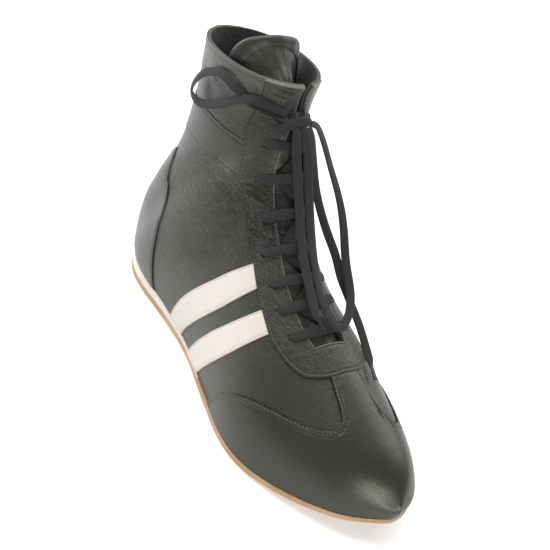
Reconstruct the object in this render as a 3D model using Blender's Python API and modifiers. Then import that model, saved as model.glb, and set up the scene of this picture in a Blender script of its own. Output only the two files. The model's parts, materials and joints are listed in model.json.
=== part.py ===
"""High wrestling shoe for the right foot.

Row frame, metres: the origin is on the floor under the middle of the heel, +X points
to the toe, +Y to the inner side of the foot and +Z up. Every curved piece is worked out
from one skin function, so all pieces follow the same last.
"""
import math

import bmesh
import bpy
import numpy as np
from mathutils import Matrix, Vector

# Driving sizes
SOLE_LENGTH = 0.285
BALL_WIDTH = 0.099
HEEL_WIDTH = 0.070
ANKLE_WIDTH = 0.064
INSTEP_HEIGHT = 0.082
COLLAR_HEIGHT = 0.188
TOE_SPRING = 0.013
ARCH_RISE = 0.0012
OUTSOLE_THICKNESS = 0.004
MIDSOLE_HEEL = 0.007
MIDSOLE_END = 0.42
INSOLE_THICKNESS = 0.003
WALL = 0.002
OVERLAY = 0.0009
TONGUE_THICKNESS = 0.003
SOLE_SHOWS = 0.002
SOLE_CHAMFER = 0.0008
GAP = 0.0003
OVERLAY_GAP = 0.0006
END_GAP = 0.0010
HEEL_CENTRE = 0.145
EYELET_DIAMETER = 0.0044
LACE_WIDTH = 0.007
LACE_THICKNESS = 0.0014
CORD_DIAMETER = 0.003
KNOT_DIAMETER = 0.0045

# Sole outline, a row per station: share of the length from the heel, then the outer and
# inner half widths as shares of the local sole width
OUTLINE = (
    (0.000, 0.000, 0.000),
    (0.040, 0.341, 0.334),
    (0.100, 0.474, 0.460),
    (0.170, 0.511, 0.487),
    (0.270, 0.487, 0.432),
    (0.380, 0.452, 0.350),
    (0.500, 0.464, 0.323),
    (0.600, 0.499, 0.375),
    (0.680, 0.528, 0.449),
    (0.750, 0.507, 0.480),
    (0.820, 0.428, 0.461),
    (0.890, 0.313, 0.410),
    (0.950, 0.174, 0.330),
    (0.985, 0.028, 0.229),
    (1.000, -0.072, 0.072),
)

# Foot sections, toe to heel. Columns: share of the length at the sole, share of the
# length at the ridge, share of the instep height, share of the rise from the instep to
# the collar, inward shift of the ridge (share of the ball width), outer and inner belly
# (shares of the local width), height share of the widest point measured down from the
# ridge, roundness above it, roundness below it
FOOT = (
    (1.000, 1.000, 0.346, 0.000, 0.008, 0.000, 0.000, 0.80, 2.00, 2.00),
    (0.985, 0.972, 0.460, 0.000, 0.014, 0.029, 0.029, 0.80, 2.10, 2.00),
    (0.950, 0.925, 0.538, 0.000, 0.022, 0.058, 0.048, 0.80, 2.10, 2.00),
    (0.890, 0.860, 0.622, 0.000, 0.031, 0.078, 0.068, 0.80, 2.10, 2.00),
    (0.820, 0.785, 0.728, 0.000, 0.038, 0.097, 0.078, 0.78, 2.00, 2.00),
    (0.740, 0.705, 0.852, 0.000, 0.043, 0.116, 0.097, 0.75, 2.00, 2.00),
    (0.660, 0.632, 0.993, 0.000, 0.045, 0.126, 0.116, 0.72, 1.90, 2.00),
    (0.570, 0.562, 1.000, 0.117, 0.044, 0.145, 0.155, 0.70, 1.85, 2.00),
    (0.470, 0.505, 1.000, 0.246, 0.039, 0.175, 0.194, 0.68, 1.85, 2.05),
    (0.360, 0.460, 1.000, 0.383, 0.030, 0.197, 0.217, 0.66, 1.90, 2.15),
    (0.250, 0.428, 1.000, 0.506, 0.021, 0.225, 0.246, 0.64, 1.95, 2.30),
    (0.150, 0.406, 1.000, 0.607, 0.012, 0.282, 0.292, 0.62, 2.00, 2.50),
    (0.070, 0.392, 1.000, 0.693, 0.006, 0.361, 0.361, 0.60, 2.00, 2.65),
    (0.020, 0.384, 1.000, 0.756, 0.003, 0.434, 0.428, 0.58, 2.00, 2.70),
    (0.000, 0.380, 1.000, 0.795, 0.001, 0.493, 0.486, 0.57, 2.00, 2.70),
)

# Shaft sections, ankle to collar. Columns: way up the shaft, back seam as shares of the
# length and the collar height, front as a share of the length and a share of the rise
# from the instep to the collar, then the last five columns of the table above
SHAFT = (
    (0.12, -0.007, 0.170, 0.369, 0.825, 0.527, 0.521, 0.56, 2.00, 2.60),
    (0.26, 0.003, 0.300, 0.359, 0.859, 0.518, 0.515, 0.54, 2.00, 2.40),
    (0.42, 0.034, 0.440, 0.351, 0.898, 0.484, 0.487, 0.52, 2.00, 2.25),
    (0.60, 0.059, 0.600, 0.347, 0.942, 0.463, 0.474, 0.50, 2.00, 2.20),
    (0.80, 0.062, 0.800, 0.348, 0.990, 0.464, 0.478, 0.50, 2.00, 2.20),
    (1.00, 0.047, 1.000, 0.354, 1.039, 0.479, 0.496, 0.50, 2.00, 2.20),
)

# Throat opening: station, outer edge and inner edge, both measured round the section
THROAT = (
    (0.355, 0.086, 0.086),
    (0.390, 0.104, 0.104),
    (0.430, 0.110, 0.110),
    (0.513, 0.112, 0.115),
    (0.583, 0.122, 0.120),
    (0.680, 0.118, 0.120),
    (0.797, 0.088, 0.112),
    (0.940, 0.062, 0.105),
    (1.107, 0.030, 0.100),
    (1.333, -0.004, 0.095),
    (2.000, -0.020, 0.100),
)
THROAT_START = THROAT[0][0]

# Eyelets and lace bars: station, outer and inner distance from the ridge
EYELETS = (
    (0.383, 0.176, 0.176),
    (0.427, 0.184, 0.184),
    (0.470, 0.192, 0.192),
    (0.533, 0.204, 0.200),
    (0.620, 0.208, 0.204),
    (0.740, 0.190, 0.200),
    (0.940, 0.168, 0.196),
    (1.300, 0.118, 0.190),
)

EYESTAY_EDGE = 0.265
# Lower edge of the eyestay: distance round the section, station
EYESTAY_CORNER = (
    (0.000, 0.308),
    (0.100, 0.310),
    (0.165, 0.320),
    (0.212, 0.337),
    (0.240, 0.363),
    (0.265, 0.400),
)

# White bands: distance round the section, then the two edges of each band as stations
BANDS = (
    (0.270, 0.536, 0.487, 0.451, 0.411),
    (0.360, 0.556, 0.504, 0.469, 0.424),
    (0.460, 0.578, 0.522, 0.487, 0.441),
    (0.600, 0.607, 0.551, 0.516, 0.466),
    (0.800, 0.622, 0.575, 0.540, 0.492),
    (1.000, 0.628, 0.584, 0.550, 0.506),
)

# Toe vamp rear edge on both sides: distance round the section, station
VAMP_SIDE = (
    (0.130, 0.243),
    (0.268, 0.250),
    (0.380, 0.303),
    (0.472, 0.360),
    (0.664, 0.427),
    (0.850, 0.452),
    (1.000, 0.463),
)
VAMP_STEM = 0.13

# Heel counter front edge: station, distance round the section
COUNTER = (
    (0.696, 0.990),
    (0.714, 0.864),
    (0.736, 0.762),
    (0.762, 0.683),
    (0.799, 0.628),
    (0.856, 0.597),
    (0.981, 0.586),
    (1.106, 0.601),
    (1.215, 0.621),
    (1.348, 0.660),
    (1.450, 0.715),
)

# Shaft seams as shares of the collar height at the back and at the eyestay
SEAM_HIGH = (0.886, 0.905)
SEAM_MIDDLE = (0.762, 0.805)
SEAM_LOW = (0.640, 0.712)
STRAP_HALF = 0.925

# Free upper part of the tongue. Columns: station of the wall it leaves, half width
# measured round the section, backward shift of its middle and its sides (shares of the
# sole length), rise of its middle and its sides (shares of the collar height)
TONGUE_TOP = (
    (0.94, 0.250, 0.004, 0.002, 0.005, 0.000),
    (1.06, 0.272, 0.014, 0.005, 0.016, 0.000),
    (1.20, 0.310, 0.031, 0.009, 0.032, 0.000),
    (1.37, 0.355, 0.052, 0.013, 0.053, 0.000),
    (1.58, 0.420, 0.077, 0.020, 0.069, 0.004),
    (1.98, 0.480, 0.109, 0.032, 0.080, 0.010),
)
TONGUE_HALF = 0.245
TONGUE_FOOT = 0.338
TONGUE_FREE = 0.90


def ease(x):
    x = np.clip(x, 0, 1)
    return x * x * (3 - 2 * x)


def spline(xs, ys):
    """Natural cubic spline through the rows of a table."""
    xs = np.asarray(xs, float)
    ys = np.asarray(ys, float)
    count = len(xs)
    step = np.diff(xs)
    left = np.eye(count)
    right = np.zeros(count)
    for i in range(1, count - 1):
        left[i, i - 1] = step[i - 1]
        left[i, i] = 2 * (step[i - 1] + step[i])
        left[i, i + 1] = step[i]
        right[i] = 6 * ((ys[i + 1] - ys[i]) / step[i] - (ys[i] - ys[i - 1]) / step[i - 1])
    bend = np.linalg.solve(left, right)

    def value(x):
        x = np.clip(np.asarray(x, float), xs[0], xs[-1])
        i = np.clip(np.searchsorted(xs, x) - 1, 0, count - 2)
        a = xs[i + 1] - x
        b = x - xs[i]
        h = step[i]
        curve = (bend[i] * a**3 + bend[i + 1] * b**3) / (6 * h)
        return curve + (ys[i] / h - bend[i] * h / 6) * a + (ys[i + 1] / h - bend[i + 1] * h / 6) * b

    return value


def sweep(along):
    """Angle that runs from 0 at the heel to pi at the toe and keeps both ends round."""
    return np.arccos(np.clip(1 - 2 * np.asarray(along, float), -1, 1))


outer_share = spline([sweep(row[0]) for row in OUTLINE], [row[1] for row in OUTLINE])
inner_share = spline([sweep(row[0]) for row in OUTLINE], [row[2] for row in OUTLINE])


def outline(along):
    """Outer and inner edge of the sole at a share of its length."""
    width = HEEL_WIDTH + (BALL_WIDTH - HEEL_WIDTH) * ease((np.asarray(along) - 0.2) / 0.45)
    return -outer_share(sweep(along)) * width, inner_share(sweep(along)) * width


def ground(along):
    """Height of the underside: flat heel, low arch, flat ball, turned-up toe."""
    along = np.asarray(along, float)
    arch = 0.5 - 0.5 * np.cos(2 * math.pi * np.clip((along - 0.30) / 0.25, 0, 1))
    return ARCH_RISE * arch + TOE_SPRING * np.clip((along - 0.70) / 0.30, 0, 1)**2


def wedge(along):
    """Thickness of the midsole wedge."""
    return MIDSOLE_HEEL * (0.5 + 0.5 * np.cos(math.pi * np.clip((np.asarray(along) - 0.12) / 0.43, 0, 1)))


def feather(along):
    """Height of the lower edge of the upper."""
    return ground(along) + OUTSOLE_THICKNESS + GAP + wedge(along)


def section_table():
    rows = []
    inside = SOLE_LENGTH - 2 * SOLE_SHOWS
    for row in FOOT:
        station = 1 - float(sweep(row[0])) / math.pi
        height = row[2] * INSTEP_HEIGHT + row[3] * (COLLAR_HEIGHT - INSTEP_HEIGHT)
        width = BALL_WIDTH + float(ease((station - 0.5) / 0.7)) * (ANKLE_WIDTH - BALL_WIDTH)
        rows.append((station, SOLE_SHOWS + row[0] * inside, float(feather(row[0])), SOLE_SHOWS + row[1] * inside,
                     height, row[4] * BALL_WIDTH, row[5] * width, row[6] * width, row[7], row[8], row[9]))
    for row in SHAFT:
        width = BALL_WIDTH + float(ease((row[0] + 0.5) / 0.7)) * (ANKLE_WIDTH - BALL_WIDTH)
        height = INSTEP_HEIGHT + row[4] * (COLLAR_HEIGHT - INSTEP_HEIGHT)
        rows.append((1 + row[0], SOLE_SHOWS + row[1] * inside, row[2] * COLLAR_HEIGHT, SOLE_SHOWS + row[3] * inside,
                     height, 0.0, row[5] * width, row[6] * width, row[7], row[8], row[9]))
    return np.array(rows)


SECTIONS = section_table()
section_curves = [spline(SECTIONS[:, 0], SECTIONS[:, k]) for k in range(1, SECTIONS.shape[1])]


def skin_point(station, around):
    """Outer face of the upper. station runs toe 0, heel 1, collar 2; around runs from the
    outer lower edge -1 over the ridge 0 to the inner lower edge 1."""
    station = np.asarray(station, float)
    around = np.asarray(around, float)
    back_x, back_z, ridge_x, ridge_z, shift, outer, inner, widest, top, low = [f(station) for f in section_curves]
    on_foot = station <= 1
    along = np.where(on_foot, 0.5 * (1 + np.cos(math.pi * np.clip(station, 0, 1))), 0.0)
    back_x = np.where(on_foot, SOLE_SHOWS + along * (SOLE_LENGTH - 2 * SOLE_SHOWS), back_x)
    back_z = np.where(on_foot, feather(along), back_z)
    edge_outer, edge_inner = outline(along)
    half = (edge_inner - edge_outer) / 2 * (1 - 2 * SOLE_SHOWS / BALL_WIDTH)
    middle = np.where(on_foot, (edge_outer + edge_inner) / 2, 0.0)
    half = np.where(on_foot, half, 0.0)
    share = np.abs(around)
    wide = np.hypot(half, np.where(around < 0, outer, inner))
    ratio = np.clip(np.where(wide > 1e-9, half / np.maximum(wide, 1e-9), 1), 0, 1)
    end = np.arccos(ratio**(low / 2))
    split = 0.60
    upper = share < split
    angle = share / split * math.pi / 2
    fall = (share - split) / (1 - split)
    turn = fall * end
    drop_up = 1 - np.abs(np.cos(angle))**(2 / top)
    side_up = np.abs(np.sin(angle))**(2 / top)
    reach = np.maximum(np.sin(end), 1e-6)**(2 / low)
    drop_down = np.where(end < 1e-4, fall, np.abs(np.sin(turn))**(2 / low) / reach)
    side_down = np.abs(np.cos(turn))**(2 / low)
    drop = np.where(upper, widest * drop_up, widest + (1 - widest) * np.clip(drop_down, 0, 1))
    side = wide * np.where(upper, side_up, side_down)
    x = ridge_x + (back_x - ridge_x) * drop - HEEL_CENTRE * SOLE_LENGTH
    y = middle + shift * (1 - drop) + np.where(around < 0, -1, 1) * side
    z = ridge_z + (back_z - ridge_z) * drop
    return np.stack([x, y, z], -1)


def skin_normal(station, around):
    station = np.clip(np.asarray(station, float), 0.004, 2)
    around = np.asarray(around, float)
    e = 0.002
    du = skin_point(np.clip(station + e, 0, 2), around) - skin_point(np.clip(station - e, 0, 2), around)
    inward = np.where(around < 0, np.minimum(around + e, 0.999), np.minimum(around + e, 1.0))
    outward = np.maximum(around - e, -1.0)
    dv = skin_point(station, inward) - skin_point(station, outward)
    normal = np.cross(dv, du)
    normal /= np.maximum(np.linalg.norm(normal, axis=-1, keepdims=True), 1e-12)
    joined = (np.abs(around) > 0.9995) & (station > 0.9995)
    normal[..., 1] = np.where(joined, 0.0, normal[..., 1])
    normal /= np.maximum(np.linalg.norm(normal, axis=-1, keepdims=True), 1e-12)
    return normal


def skin(station, around, lift=0.0):
    """Point at a distance outside the outer face of the upper."""
    station, around = np.broadcast_arrays(np.asarray(station, float), np.asarray(around, float))
    lift = np.asarray(lift, float)
    normal = skin_normal(station, around)
    nose = station < 0.002
    normal[..., 1] = np.where(nose, 0.0, normal[..., 1])
    normal /= np.maximum(np.linalg.norm(normal, axis=-1, keepdims=True), 1e-12)
    return skin_point(station, around) + normal * lift[..., None]


def station_at_height(around, height):
    """Station where the skin reaches a height, for the shaft seams."""
    stations = np.linspace(0.70, 2.0, 261)
    rises = skin_point(stations, np.full_like(stations, around))[:, 2]
    return float(np.interp(height, rises, stations))


# Lattice that the upper and every overlay share: rows are stations, columns are steps
# from a throat edge (0) down to the lower edge (1) on each side of the slot
ROWS = np.array([0.0, 0.035, 0.075, 0.12, 0.165, 0.21, 0.255, 0.305, 0.355, 0.395, 0.435, 0.475,
                 0.515, 0.555, 0.595, 0.635, 0.68, 0.73, 0.78, 0.83, 0.88, 0.93, 0.97, 1.0,
                 1.05, 1.13, 1.20, 1.28, 1.37, 1.47, 1.58, 1.70, 1.85, 2.0])
STEPS = np.array([0.0, 0.09, 0.19, 0.29, 0.39, 0.49, 0.59, 0.69, 0.79, 0.90, 1.0])
SLOT = (-0.333, 0.333)


def throat_edge(station, side):
    column = 1 if side < 0 else 2
    return np.interp(station, [row[0] for row in THROAT], [row[column] for row in THROAT])


def step_to_around(station, side, step):
    edge = throat_edge(station, side)
    return side * (edge + (1 - edge) * step)


def around_to_step(station, side, distance):
    edge = throat_edge(station, side)
    return (distance - edge) / (1 - edge)


def slot_to_around(station, share):
    outer_edge = throat_edge(station, -1)
    inner_edge = throat_edge(station, 1)
    return (inner_edge - outer_edge) / 2 + share * (inner_edge + outer_edge) / 2


facet_cache = {}


def facet_nodes(lift):
    """Lattice points at a distance from the skin: outer side, slot, inner side."""
    key = round(lift * 1e7)
    if key not in facet_cache:
        sides = []
        for side in (-1, 1):
            around = step_to_around(ROWS[:, None], side, STEPS[None, :])
            sides.append(skin(np.broadcast_to(ROWS[:, None], around.shape), around, lift))
        shares = np.array([-1, *SLOT, 1])
        around = slot_to_around(ROWS[:, None], shares[None, :])
        slot = skin(np.broadcast_to(ROWS[:, None], around.shape), around, lift)
        facet_cache[key] = (sides[0], slot, sides[1])
    return facet_cache[key]


def facet_point(station, around, lift):
    """Point on the flat facets of the lattice, so that pieces lie parallel to the upper."""
    outer, slot, inner = facet_nodes(lift)
    i = int(np.clip(np.searchsorted(ROWS, station, side="right") - 1, 0, len(ROWS) - 2))
    a = (station - ROWS[i]) / (ROWS[i + 1] - ROWS[i])
    outer_edge = float(throat_edge(station, -1))
    inner_edge = float(throat_edge(station, 1))
    if -outer_edge <= around <= inner_edge:
        share = (around - (inner_edge - outer_edge) / 2) / ((inner_edge + outer_edge) / 2)
        marks, grid, where = np.array([-1, *SLOT, 1]), slot, share
    elif around < 0 and around < -outer_edge:
        marks, grid, where = STEPS, outer, (-around - outer_edge) / (1 - outer_edge)
    else:
        marks, grid, where = STEPS, inner, (around - inner_edge) / (1 - inner_edge)
    k = int(np.clip(np.searchsorted(marks, where, side="right") - 1, 0, len(marks) - 2))
    b = (where - marks[k]) / (marks[k + 1] - marks[k])
    corner_00, corner_01, corner_10, corner_11 = grid[i, k], grid[i, k + 1], grid[i + 1, k], grid[i + 1, k + 1]
    if a < b:
        return corner_00 + (corner_01 - corner_00) * b + (corner_11 - corner_01) * a
    return corner_00 + (corner_10 - corner_00) * a + (corner_11 - corner_10) * b


def facet_points(stations, arounds, lift):
    stations, arounds = np.broadcast_arrays(np.asarray(stations, float), np.asarray(arounds, float))
    lifts = np.broadcast_to(np.asarray(lift, float), stations.shape)
    flat = [facet_point(t, v, h) for t, v, h in zip(stations.ravel(), arounds.ravel(), lifts.ravel())]
    return np.array(flat).reshape(*stations.shape, 3)


# Scene set-up
for item in list(bpy.data.objects):
    bpy.data.objects.remove(item, do_unlink=True)
parts = bpy.data.collections.new("wrestling_shoe")
bpy.context.scene.collection.children.link(parts)
tools = bpy.data.collections.new("cutters")
bpy.context.scene.collection.children.link(tools)


def material(name, colour, roughness):
    made = bpy.data.materials.new(name)
    made.use_nodes = True
    shader = made.node_tree.nodes["Principled BSDF"]
    shader.inputs["Base Color"].default_value = (*colour, 1)
    shader.inputs["Roughness"].default_value = roughness
    made.diffuse_color = (*colour, 1)
    return made


def add(name, mesh, look, collection=parts):
    item = bpy.data.objects.new(name, mesh)
    collection.objects.link(item)
    if look:
        mesh.materials.append(look)
    return item


def sheet(name, points, keep=None, outward=None, turned=(), weld=2e-5):
    """Triangle mesh of a grid of points. Faces where keep is false are left out; turned
    lists the columns whose cells are cut along the other diagonal."""
    rows, columns = points.shape[:2]
    mesh = bmesh.new()
    verts = [[mesh.verts.new(points[i, j]) for j in range(columns)] for i in range(rows)]
    for i in range(rows - 1):
        for j in range(columns - 1):
            if keep is not None and not keep[i][j]:
                continue
            a, b, c, d = verts[i][j], verts[i][j + 1], verts[i + 1][j + 1], verts[i + 1][j]
            for face in ((a, b, d), (b, c, d)) if j in turned else ((a, b, c), (a, c, d)):
                if min((face[m].co - face[m - 1].co).length for m in range(3)) > weld:
                    mesh.faces.new(face)
    bmesh.ops.remove_doubles(mesh, verts=mesh.verts, dist=weld)
    loose = [v for v in mesh.verts if not v.link_faces]
    bmesh.ops.delete(mesh, geom=loose, context="VERTS")
    bmesh.ops.recalc_face_normals(mesh, faces=mesh.faces)
    if outward is not None:
        mesh.normal_update()
        total = sum(face.normal.dot(Vector(outward(face.calc_center_median()))) * face.calc_area() for face in mesh.faces)
        if total < 0:
            bmesh.ops.reverse_faces(mesh, faces=mesh.faces)
    data = bpy.data.meshes.new(name)
    mesh.to_mesh(data)
    mesh.free()
    return data


def away_from_last(point):
    """Rough outward direction: away from a line that runs inside the foot and shaft."""
    x = point.x + HEEL_CENTRE * SOLE_LENGTH
    on_foot = min(max((x / SOLE_LENGTH - 0.3) / 0.65, 0), 1)
    low = Vector((point.x, 0.008 * on_foot, 0.30 * INSTEP_HEIGHT * (1 - 0.3 * on_foot)))
    shaft = Vector((0.19 * SOLE_LENGTH - HEEL_CENTRE * SOLE_LENGTH, 0, max(point.z, 0.3 * INSTEP_HEIGHT)))
    pick = shaft if point.z > INSTEP_HEIGHT or x < 0.22 * SOLE_LENGTH else low
    return point - pick


def thicken(item, thickness, side):
    shell = item.modifiers.new("thickness", "SOLIDIFY")
    shell.thickness = thickness
    shell.offset = side
    shell.use_even_offset = True
    shell.use_quality_normals = True
    return shell


def applied(item):
    """Replace an object's mesh by the result of its modifiers."""
    bpy.context.view_layer.update()
    graph = bpy.context.evaluated_depsgraph_get()
    result = bpy.data.meshes.new_from_object(item.evaluated_get(graph))
    old = item.data
    item.modifiers.clear()
    item.data = result
    bpy.data.meshes.remove(old)
    return item


def clear_of_sole(item):
    """Keep the lower edge of an overlay just above the sole."""
    for vert in item.data.vertices:
        along = min(max(vert.co.x / SOLE_LENGTH + HEEL_CENTRE, 0), 1)
        vert.co.z = max(vert.co.z, float(feather(along)) + 0.0002)
    return item


def overlay(name, look, columns, low, high, first, last, keep=None, gap=OVERLAY_GAP):
    """Leather piece cut from the lattice. columns are (side, step) pairs, or (0, share)
    in the slot; low and high give station limits at a distance round the section, first
    and last give distance limits at a station."""
    points = []
    keeps = []
    for i, row in enumerate(ROWS):
        line = []
        for side, step in columns:
            if side == 0:
                around = float(slot_to_around(row, step))
                station = float(np.clip(row, low(abs(around)), min(high(abs(around)), THROAT_START - 0.004)))
                line.append(facet_point(station, float(slot_to_around(station, step)), gap))
                continue
            station = float(row)
            for _ in range(8):
                around = abs(float(step_to_around(station, side, step)))
                around = float(np.clip(around, first(station), last(station)))
                station = float(np.clip(row, low(around), high(around)))
            line.append(facet_point(station, side * around, gap))
        points.append(line)
        keeps.append([keep is None or keep(row, k) for k in range(len(columns) - 1)])
    turned = [k for k in range(len(columns) - 1) if columns[k][0] != 0 and columns[k][1] > columns[k + 1][1]
              and columns[k][0] == columns[k + 1][0]]
    item = add(name, sheet(name, np.array(points), keeps[:-1], away_from_last, turned, 2.5e-4), look)
    thicken(item, OVERLAY, 1)
    return clear_of_sole(applied(item))


def side_columns(side):
    return [(side, float(step)) for step in STEPS]


leather = material("black_leather", (0.022, 0.023, 0.022), 0.42)
counter_leather = material("counter_leather", (0.024, 0.025, 0.024), 0.42)
vamp_leather = material("vamp_leather", (0.021, 0.022, 0.021), 0.42)
eyestay_leather = material("eyestay_leather", (0.020, 0.021, 0.020), 0.45)
cuff_leather = material("cuff_leather", (0.023, 0.024, 0.023), 0.42)
shaft_leather = material("shaft_leather", (0.022, 0.023, 0.022), 0.43)
strap_leather = material("strap_leather", (0.021, 0.022, 0.021), 0.44)
tongue_leather = material("tongue_leather", (0.020, 0.020, 0.021), 0.5)
band_leather = material("white_leather", (0.82, 0.78, 0.74), 0.5)
gum = material("gum_rubber", (0.72, 0.46, 0.25), 0.55)
foam = material("white_foam", (0.80, 0.77, 0.73), 0.6)
lining = material("insole_cloth", (0.10, 0.10, 0.10), 0.85)
lace = material("lace_cloth", (0.030, 0.032, 0.030), 0.8)


# Sole pieces
def offset_outline(stations, inset):
    """Outer and inner edge points of the outline moved inwards by a distance."""
    edges = []
    for side in (0, 1):
        turn = np.clip(sweep(stations), 1e-4, math.pi - 1e-4)
        turns = np.stack([turn - 1e-4, turn, turn + 1e-4])
        along = 0.5 * (1 - np.cos(turns))
        y = outline(along)[side]
        x = along * SOLE_LENGTH
        tangent = np.stack([x[2] - x[0], y[2] - y[0]], -1)
        tangent /= np.linalg.norm(tangent, axis=1, keepdims=True)
        sign = 1 if side == 0 else -1
        normal = np.stack([-tangent[:, 1], tangent[:, 0]], -1) * sign
        base = np.stack([np.asarray(stations) * SOLE_LENGTH, outline(stations)[side]], -1)
        edges.append(base + normal * inset)
    edges[0][0, 1] = edges[1][0, 1] = (edges[0][0, 1] + edges[1][0, 1]) / 2
    if stations[-1] > 0.9999:
        edges[0][-1] = edges[1][-1] = (edges[0][-1] + edges[1][-1]) / 2
    return edges


def sole_plate(name, stations, layers, columns, look):
    """Closed plate: layers are (inset, height function) rings from the underside up."""
    rings = []
    for inset, height in layers:
        outer, inner = offset_outline(stations, inset)
        rings.append((outer, inner, height))
    shares = np.linspace(0, 1, columns)
    points = []
    for i in range(len(stations)):
        ring = []
        outer, inner, height = rings[0]
        ring += [(outer[i] + (inner[i] - outer[i]) * s, height) for s in shares]
        ring += [(inner[i], height) for _, inner, height in rings[1:-1]]
        outer, inner, height = rings[-1]
        ring += [(inner[i] + (outer[i] - inner[i]) * s, height) for s in shares]
        ring += [(outer[i], height) for outer, _, height in rings[-2:0:-1]]
        points.append([(p[0] - HEEL_CENTRE * SOLE_LENGTH, p[1], float(h(p[0] / SOLE_LENGTH))) for p, h in ring])
    mesh = bmesh.new()
    verts = [[mesh.verts.new(p) for p in ring] for ring in points]
    count = len(points[0])
    for i in range(len(points) - 1):
        for j in range(count):
            k = (j + 1) % count
            mesh.faces.new((verts[i][j], verts[i][k], verts[i + 1][k], verts[i + 1][j]))
    if stations[-1] < 0.9999:
        mesh.faces.new(verts[-1])
    bmesh.ops.remove_doubles(mesh, verts=mesh.verts, dist=2e-5)
    bmesh.ops.dissolve_degenerate(mesh, edges=mesh.edges, dist=2e-5)
    bmesh.ops.recalc_face_normals(mesh, faces=mesh.faces)
    data = bpy.data.meshes.new(name)
    mesh.to_mesh(data)
    mesh.free()
    return add(name, data, look)


def sole_top(along):
    return ground(along) + OUTSOLE_THICKNESS


round_stations = 0.5 * (1 - np.cos(math.pi * np.linspace(0, 1, 25)))
flat_stations = np.array([0.30, 0.3625, 0.425, 0.4875, 0.55, 0.70])
outsole_stations = np.unique(np.concatenate([round_stations[(round_stations < 0.28) | (round_stations > 0.72)],
                                             flat_stations, [0.63]]))
sole_plate("outsole", outsole_stations,
           [(SOLE_CHAMFER, ground), (0.0, lambda a: ground(a) + SOLE_CHAMFER),
            (0.0, lambda a: sole_top(a) - SOLE_CHAMFER / 2), (SOLE_CHAMFER / 2, sole_top)], 4, gum)

midsole_stations = np.concatenate([round_stations[round_stations < MIDSOLE_END - 0.02], [MIDSOLE_END]])
sole_plate("midsole", midsole_stations,
           [(SOLE_CHAMFER / 2, lambda a: sole_top(a) + GAP),
            (SOLE_CHAMFER / 4, lambda a: sole_top(a) + wedge(a) / 2),
            (SOLE_CHAMFER, lambda a: sole_top(a) + wedge(a))], 4, foam)

insole_inset = SOLE_SHOWS + WALL + 0.0038
insole_stations = 0.5 * (1 - np.cos(math.pi * np.linspace(0, 1, 21)))
sole_plate("insole", insole_stations,
           [(insole_inset, feather), (insole_inset, lambda a: feather(a) + INSOLE_THICKNESS)], 4, lining)


# Upper: one hollow wall with a slot for the throat
outer_nodes, slot_nodes, inner_nodes = facet_nodes(0.0)
upper_points = np.concatenate([outer_nodes[:, ::-1], slot_nodes[:, 1:-1], inner_nodes], axis=1)
slot_first = len(STEPS) - 1
upper_keep = [[not (slot_first <= k < slot_first + 3 and row >= THROAT_START - 1e-6)
               for k in range(upper_points.shape[1] - 1)] for row in ROWS[:-1]]
upper = add("upper", sheet("upper", upper_points, upper_keep, away_from_last, range(slot_first)), leather)
thicken(upper, WALL, -1)

# Eyestay: U-shaped facing with the lace holes
corner = spline([row[0] for row in EYESTAY_CORNER], [row[1] for row in EYESTAY_CORNER])
stay_columns = side_columns(-1)[::-1] + [(0, share) for share in SLOT] + side_columns(1)
eyestay = overlay("eyestay", eyestay_leather, stay_columns,
                  lambda around: float(corner(min(around, EYESTAY_EDGE))), lambda around: 1.985,
                  lambda station: float(min(throat_edge(station, -1), throat_edge(station, 1))) + 0.006,
                  lambda station: EYESTAY_EDGE,
                  lambda row, k: not (slot_first <= k < slot_first + 3 and row >= THROAT_START - 1e-6))

# Lace holes through the eyestay and the upper
holes = bmesh.new()
for station, outer_at, inner_at in EYELETS:
    for around in (-outer_at, inner_at):
        centre = Vector(skin(station, around, 0.0))
        normal = Vector(skin_normal(np.array(station), np.array(around)))
        turn = normal.to_track_quat("Z", "Y").to_matrix().to_4x4()
        bmesh.ops.create_cone(holes, cap_ends=True, segments=8, radius1=EYELET_DIAMETER / 2,
                              radius2=EYELET_DIAMETER / 2, depth=0.010, matrix=Matrix.Translation(centre) @ turn)
hole_mesh = bpy.data.meshes.new("lace_hole_cutter")
holes.to_mesh(hole_mesh)
holes.free()
hole_cutter = add("lace_hole_cutter", hole_mesh, None, tools)
hole_cutter.hide_render = True
hole_cutter.display_type = "WIRE"
for item in (upper, eyestay):
    punch = item.modifiers.new("lace_holes", "BOOLEAN")
    punch.operation = "DIFFERENCE"
    punch.solver = "EXACT"
    punch.object = hole_cutter

# Toe vamp: toe cap with a stem that runs up to the eyestay
vamp_line = spline([row[0] for row in VAMP_SIDE], [row[1] for row in VAMP_SIDE])
overlay("toe_vamp", vamp_leather, stay_columns,
        lambda around: 0.0,
        lambda around: float(vamp_line(around)) if around > VAMP_STEM else 0.300,
        lambda station: 0.0, lambda station: 1.0, gap=END_GAP)

# White side bands, two on each side
for place, columns in (("rear", (2, 1)), ("front", (4, 3))):
    low_edge = spline([row[0] for row in BANDS], [row[columns[0]] for row in BANDS])
    high_edge = spline([row[0] for row in BANDS], [row[columns[1]] for row in BANDS])
    for name, side in (("outer", -1), ("inner", 1)):
        overlay(f"side_band_{place}_{name}", band_leather, side_columns(side),
                lambda around: float(low_edge(around)), lambda around: float(high_edge(around)),
                lambda station: EYESTAY_EDGE + 0.005, lambda station: 1.0)

# Heel counter
counter_front = spline([row[0] for row in COUNTER], [row[1] for row in COUNTER])
overlay("heel_counter", counter_leather, side_columns(-1) + side_columns(1)[::-1],
        lambda around: COUNTER[0][0], lambda around: COUNTER[-1][0],
        lambda station: float(counter_front(station)), lambda station: 1.0,
        lambda row, k: k != slot_first, END_GAP)


# Shaft band, collar cuff and back strap
def seam_station(seam, around):
    back, front = seam
    share = float(ease((1 - around) / (1 - EYESTAY_EDGE)))
    return station_at_height(-around, COLLAR_HEIGHT * (back + (front - back) * share))


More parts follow.
